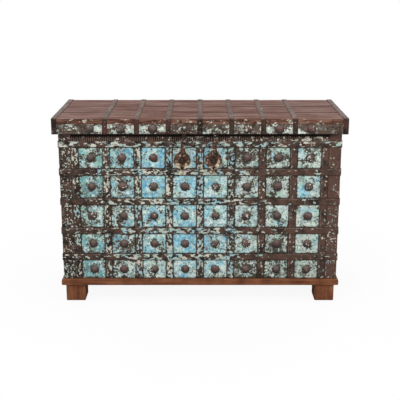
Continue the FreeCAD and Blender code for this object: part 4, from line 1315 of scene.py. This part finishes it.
def nails(material):
    """Nail heads where bands cross straps and corners, on the hinge leaves and on the lid's straps."""
    shape = Shape()
    for wall in WALLS:
        corners = [wall.ends[0] + CORNER_LEG / 2, wall.ends[1] - CORNER_LEG / 2]
        for low, high in BAND_SPANS:
            for u in [sum(strap) / 2 for strap in wall.straps] + corners:
                nail(shape, wall.place(u, (low + high) / 2, STRAP_THICKNESS + BAND_THICKNESS), wall.out)
    for node in HINGE_LEAVES:
        low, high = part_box(node)
        for share in LEAF_NAIL_SHARES:
            z = low.z + (high.z - low.z) * share
            nail(shape, Vector(((low.x + high.x) / 2, BACK_Y + LID_SKIN, z)), Y)
    piece("carcase_nails", shape, material, "carcase", "stud_iron")
    shape = Shape()
    for x in (sum(strap) / 2 for strap in LID_STRAPS):
        for share in LID_NAIL_SHARES:
            nail(shape, Vector((x, LID_FRONT + (LID_BACK - LID_FRONT) * share, LID_TOP + LID_SKIN)), Z)
        nail(shape, Vector((x, LID_FRONT - LID_SKIN, LIP_LOW + LIP_NAIL_HEIGHT)), -Y)
    piece("lid_nails", shape, material, "lid", "stud_iron")


def walls():
    """The painted boards and the iron and wood on them."""
    paint = painted_boards()
    for wall in WALLS:
        painted_wall(wall, paint)
    uprights = flecked_iron("upright_iron", (1, 1, 0.7), (0.85, 1.3, 0.5))
    for wall in WALLS:
        upright_straps(wall, uprights)
    rim_iron = flecked_iron("rim_iron", (0.4, 0.4, 1), (1.35, 1.1, 0.9))
    bands(rim_iron, flecked_iron("band_iron", (0.5, 0.5, 1), (0.55, 1.25, 0.4)))
    corner_angles(flecked_iron("angle_iron", (1.4, 1.4, 1.4), (0.55, 0.4, 0.2), 0.4, 1.0))
    frieze(frieze_wood())


def metalwork():
    """Studs, nails, the lid's iron, hinges, hasps and handles."""
    stud = stud_iron()
    for wall in WALLS:
        studs(wall.stud_node, wall.out, "carcase", stud)
    studs("lid_studs", -Y, "lid", stud)
    nails(stud)
    top_iron = lid_iron()
    lid_straps(top_iron)
    edge_bands(top_iron)
    rusty = hardware_iron()
    hinge_leaves(rusty)
    dress("hinge_pins", rusty)
    staples("hasp_bars", X, Z, BAR_BEND, rusty, "lid")
    staples("lock_staples", Z, X, STAPLE_BEND, rusty, "carcase")
    forged_iron = hasp_iron()
    for side, staple in zip(SIDES, solid_boxes("lock_staples")):
        hasp(side, staple, forged_iron)
    for side, right in SIDES.items():
        handle_eyes(side, X * right, rusty)
        handle_bail(side, rusty)


def floor():
    """A white floor that keeps a faint shadow near the chest."""
    mesh = bpy.data.meshes.new("floor")
    corners = [(x * FLOOR_REACH, y * FLOOR_REACH, 0) for x, y in ((-1, -1), (1, -1), (1, 1), (-1, 1))]
    mesh.from_pydata(corners, [], [(0, 1, 2, 3)])
    made = placed("floor", mesh)
    g = Graph("floor_white")
    mesh.materials.append(g.finish((FLOOR_WHITE, FLOOR_WHITE, FLOOR_WHITE, 1), 1.0, specular=0.0))
    distance = g.node("ShaderNodeVectorMath", {0: g.place}, operation="LENGTH").outputs["Value"]
    glow = g.total((g.rise(distance, SHADOW_START, SHADOW_REACH), 1 - SHADOW_GLOW), SHADOW_GLOW)
    seen = g.product(g.node("ShaderNodeLightPath").outputs["Is Camera Ray"], glow)
    white = g.node("ShaderNodeEmission").outputs[0]
    both = g.node("ShaderNodeMixShader", {0: seen, 1: g.shader.outputs[0], 2: white})
    g.feed(g.tree.nodes["Material Output"].inputs[0], both.outputs[0])


def world():
    """White where it is seen, directly or in a reflection, and a soft light elsewhere."""
    g = Graph("studio", bpy.data.worlds)
    bpy.context.scene.world = g.owner
    g.tree.nodes.clear()
    rays = g.node("ShaderNodeLightPath").outputs
    seen = rays["Is Camera Ray"]
    for ray in ("Is Glossy Ray", "Is Transmission Ray"):
        seen = g.math("MAXIMUM", seen, rays[ray])
    lights = []
    for strength in (WORLD_STRENGTH, 1.0):
        light = g.node("ShaderNodeBackground", {"Color": (1, 1, 1, 1), "Strength": strength})
        lights.append(light.outputs[0])
    both = g.node("ShaderNodeMixShader", {0: seen, 1: lights[0], 2: lights[1]})
    g.node("ShaderNodeOutputWorld", {0: both.outputs[0]})


def lamp(name, turn, lift, power):
    """A square softbox that looks at the chest."""
    light = bpy.data.lights.new(name, "AREA")
    light.size = LAMP_SIZE
    light.energy = power
    turn = math.radians(turn)
    lift = math.radians(lift)
    way = Vector((math.sin(turn) * math.cos(lift), -math.cos(turn) * math.cos(lift), math.sin(lift)))
    made = placed(name, light)
    made.location = Z * LAMP_AIM_HEIGHT + way * LAMP_DISTANCE
    made.rotation_euler = (-way).to_track_quat("-Z", "Y").to_euler()


def camera():
    lens = bpy.data.cameras.new("camera")
    lens.lens = CAMERA_LENS
    made = placed("camera", lens)
    made.location = (0, -CAMERA_DISTANCE, CAMERA_HEIGHT)
    made.rotation_euler = (math.radians(90 - CAMERA_PITCH), 0, 0)
    bpy.context.scene.camera = made


def studio():
    floor()
    world()
    for name, (turn, lift, power) in LAMPS.items():
        lamp(name, turn, lift, power)
    camera()
    bpy.context.scene.view_settings.view_transform = "Standard"


walls()
wood_pieces()
lid_lip(painted_lip())
metalwork()
studio()
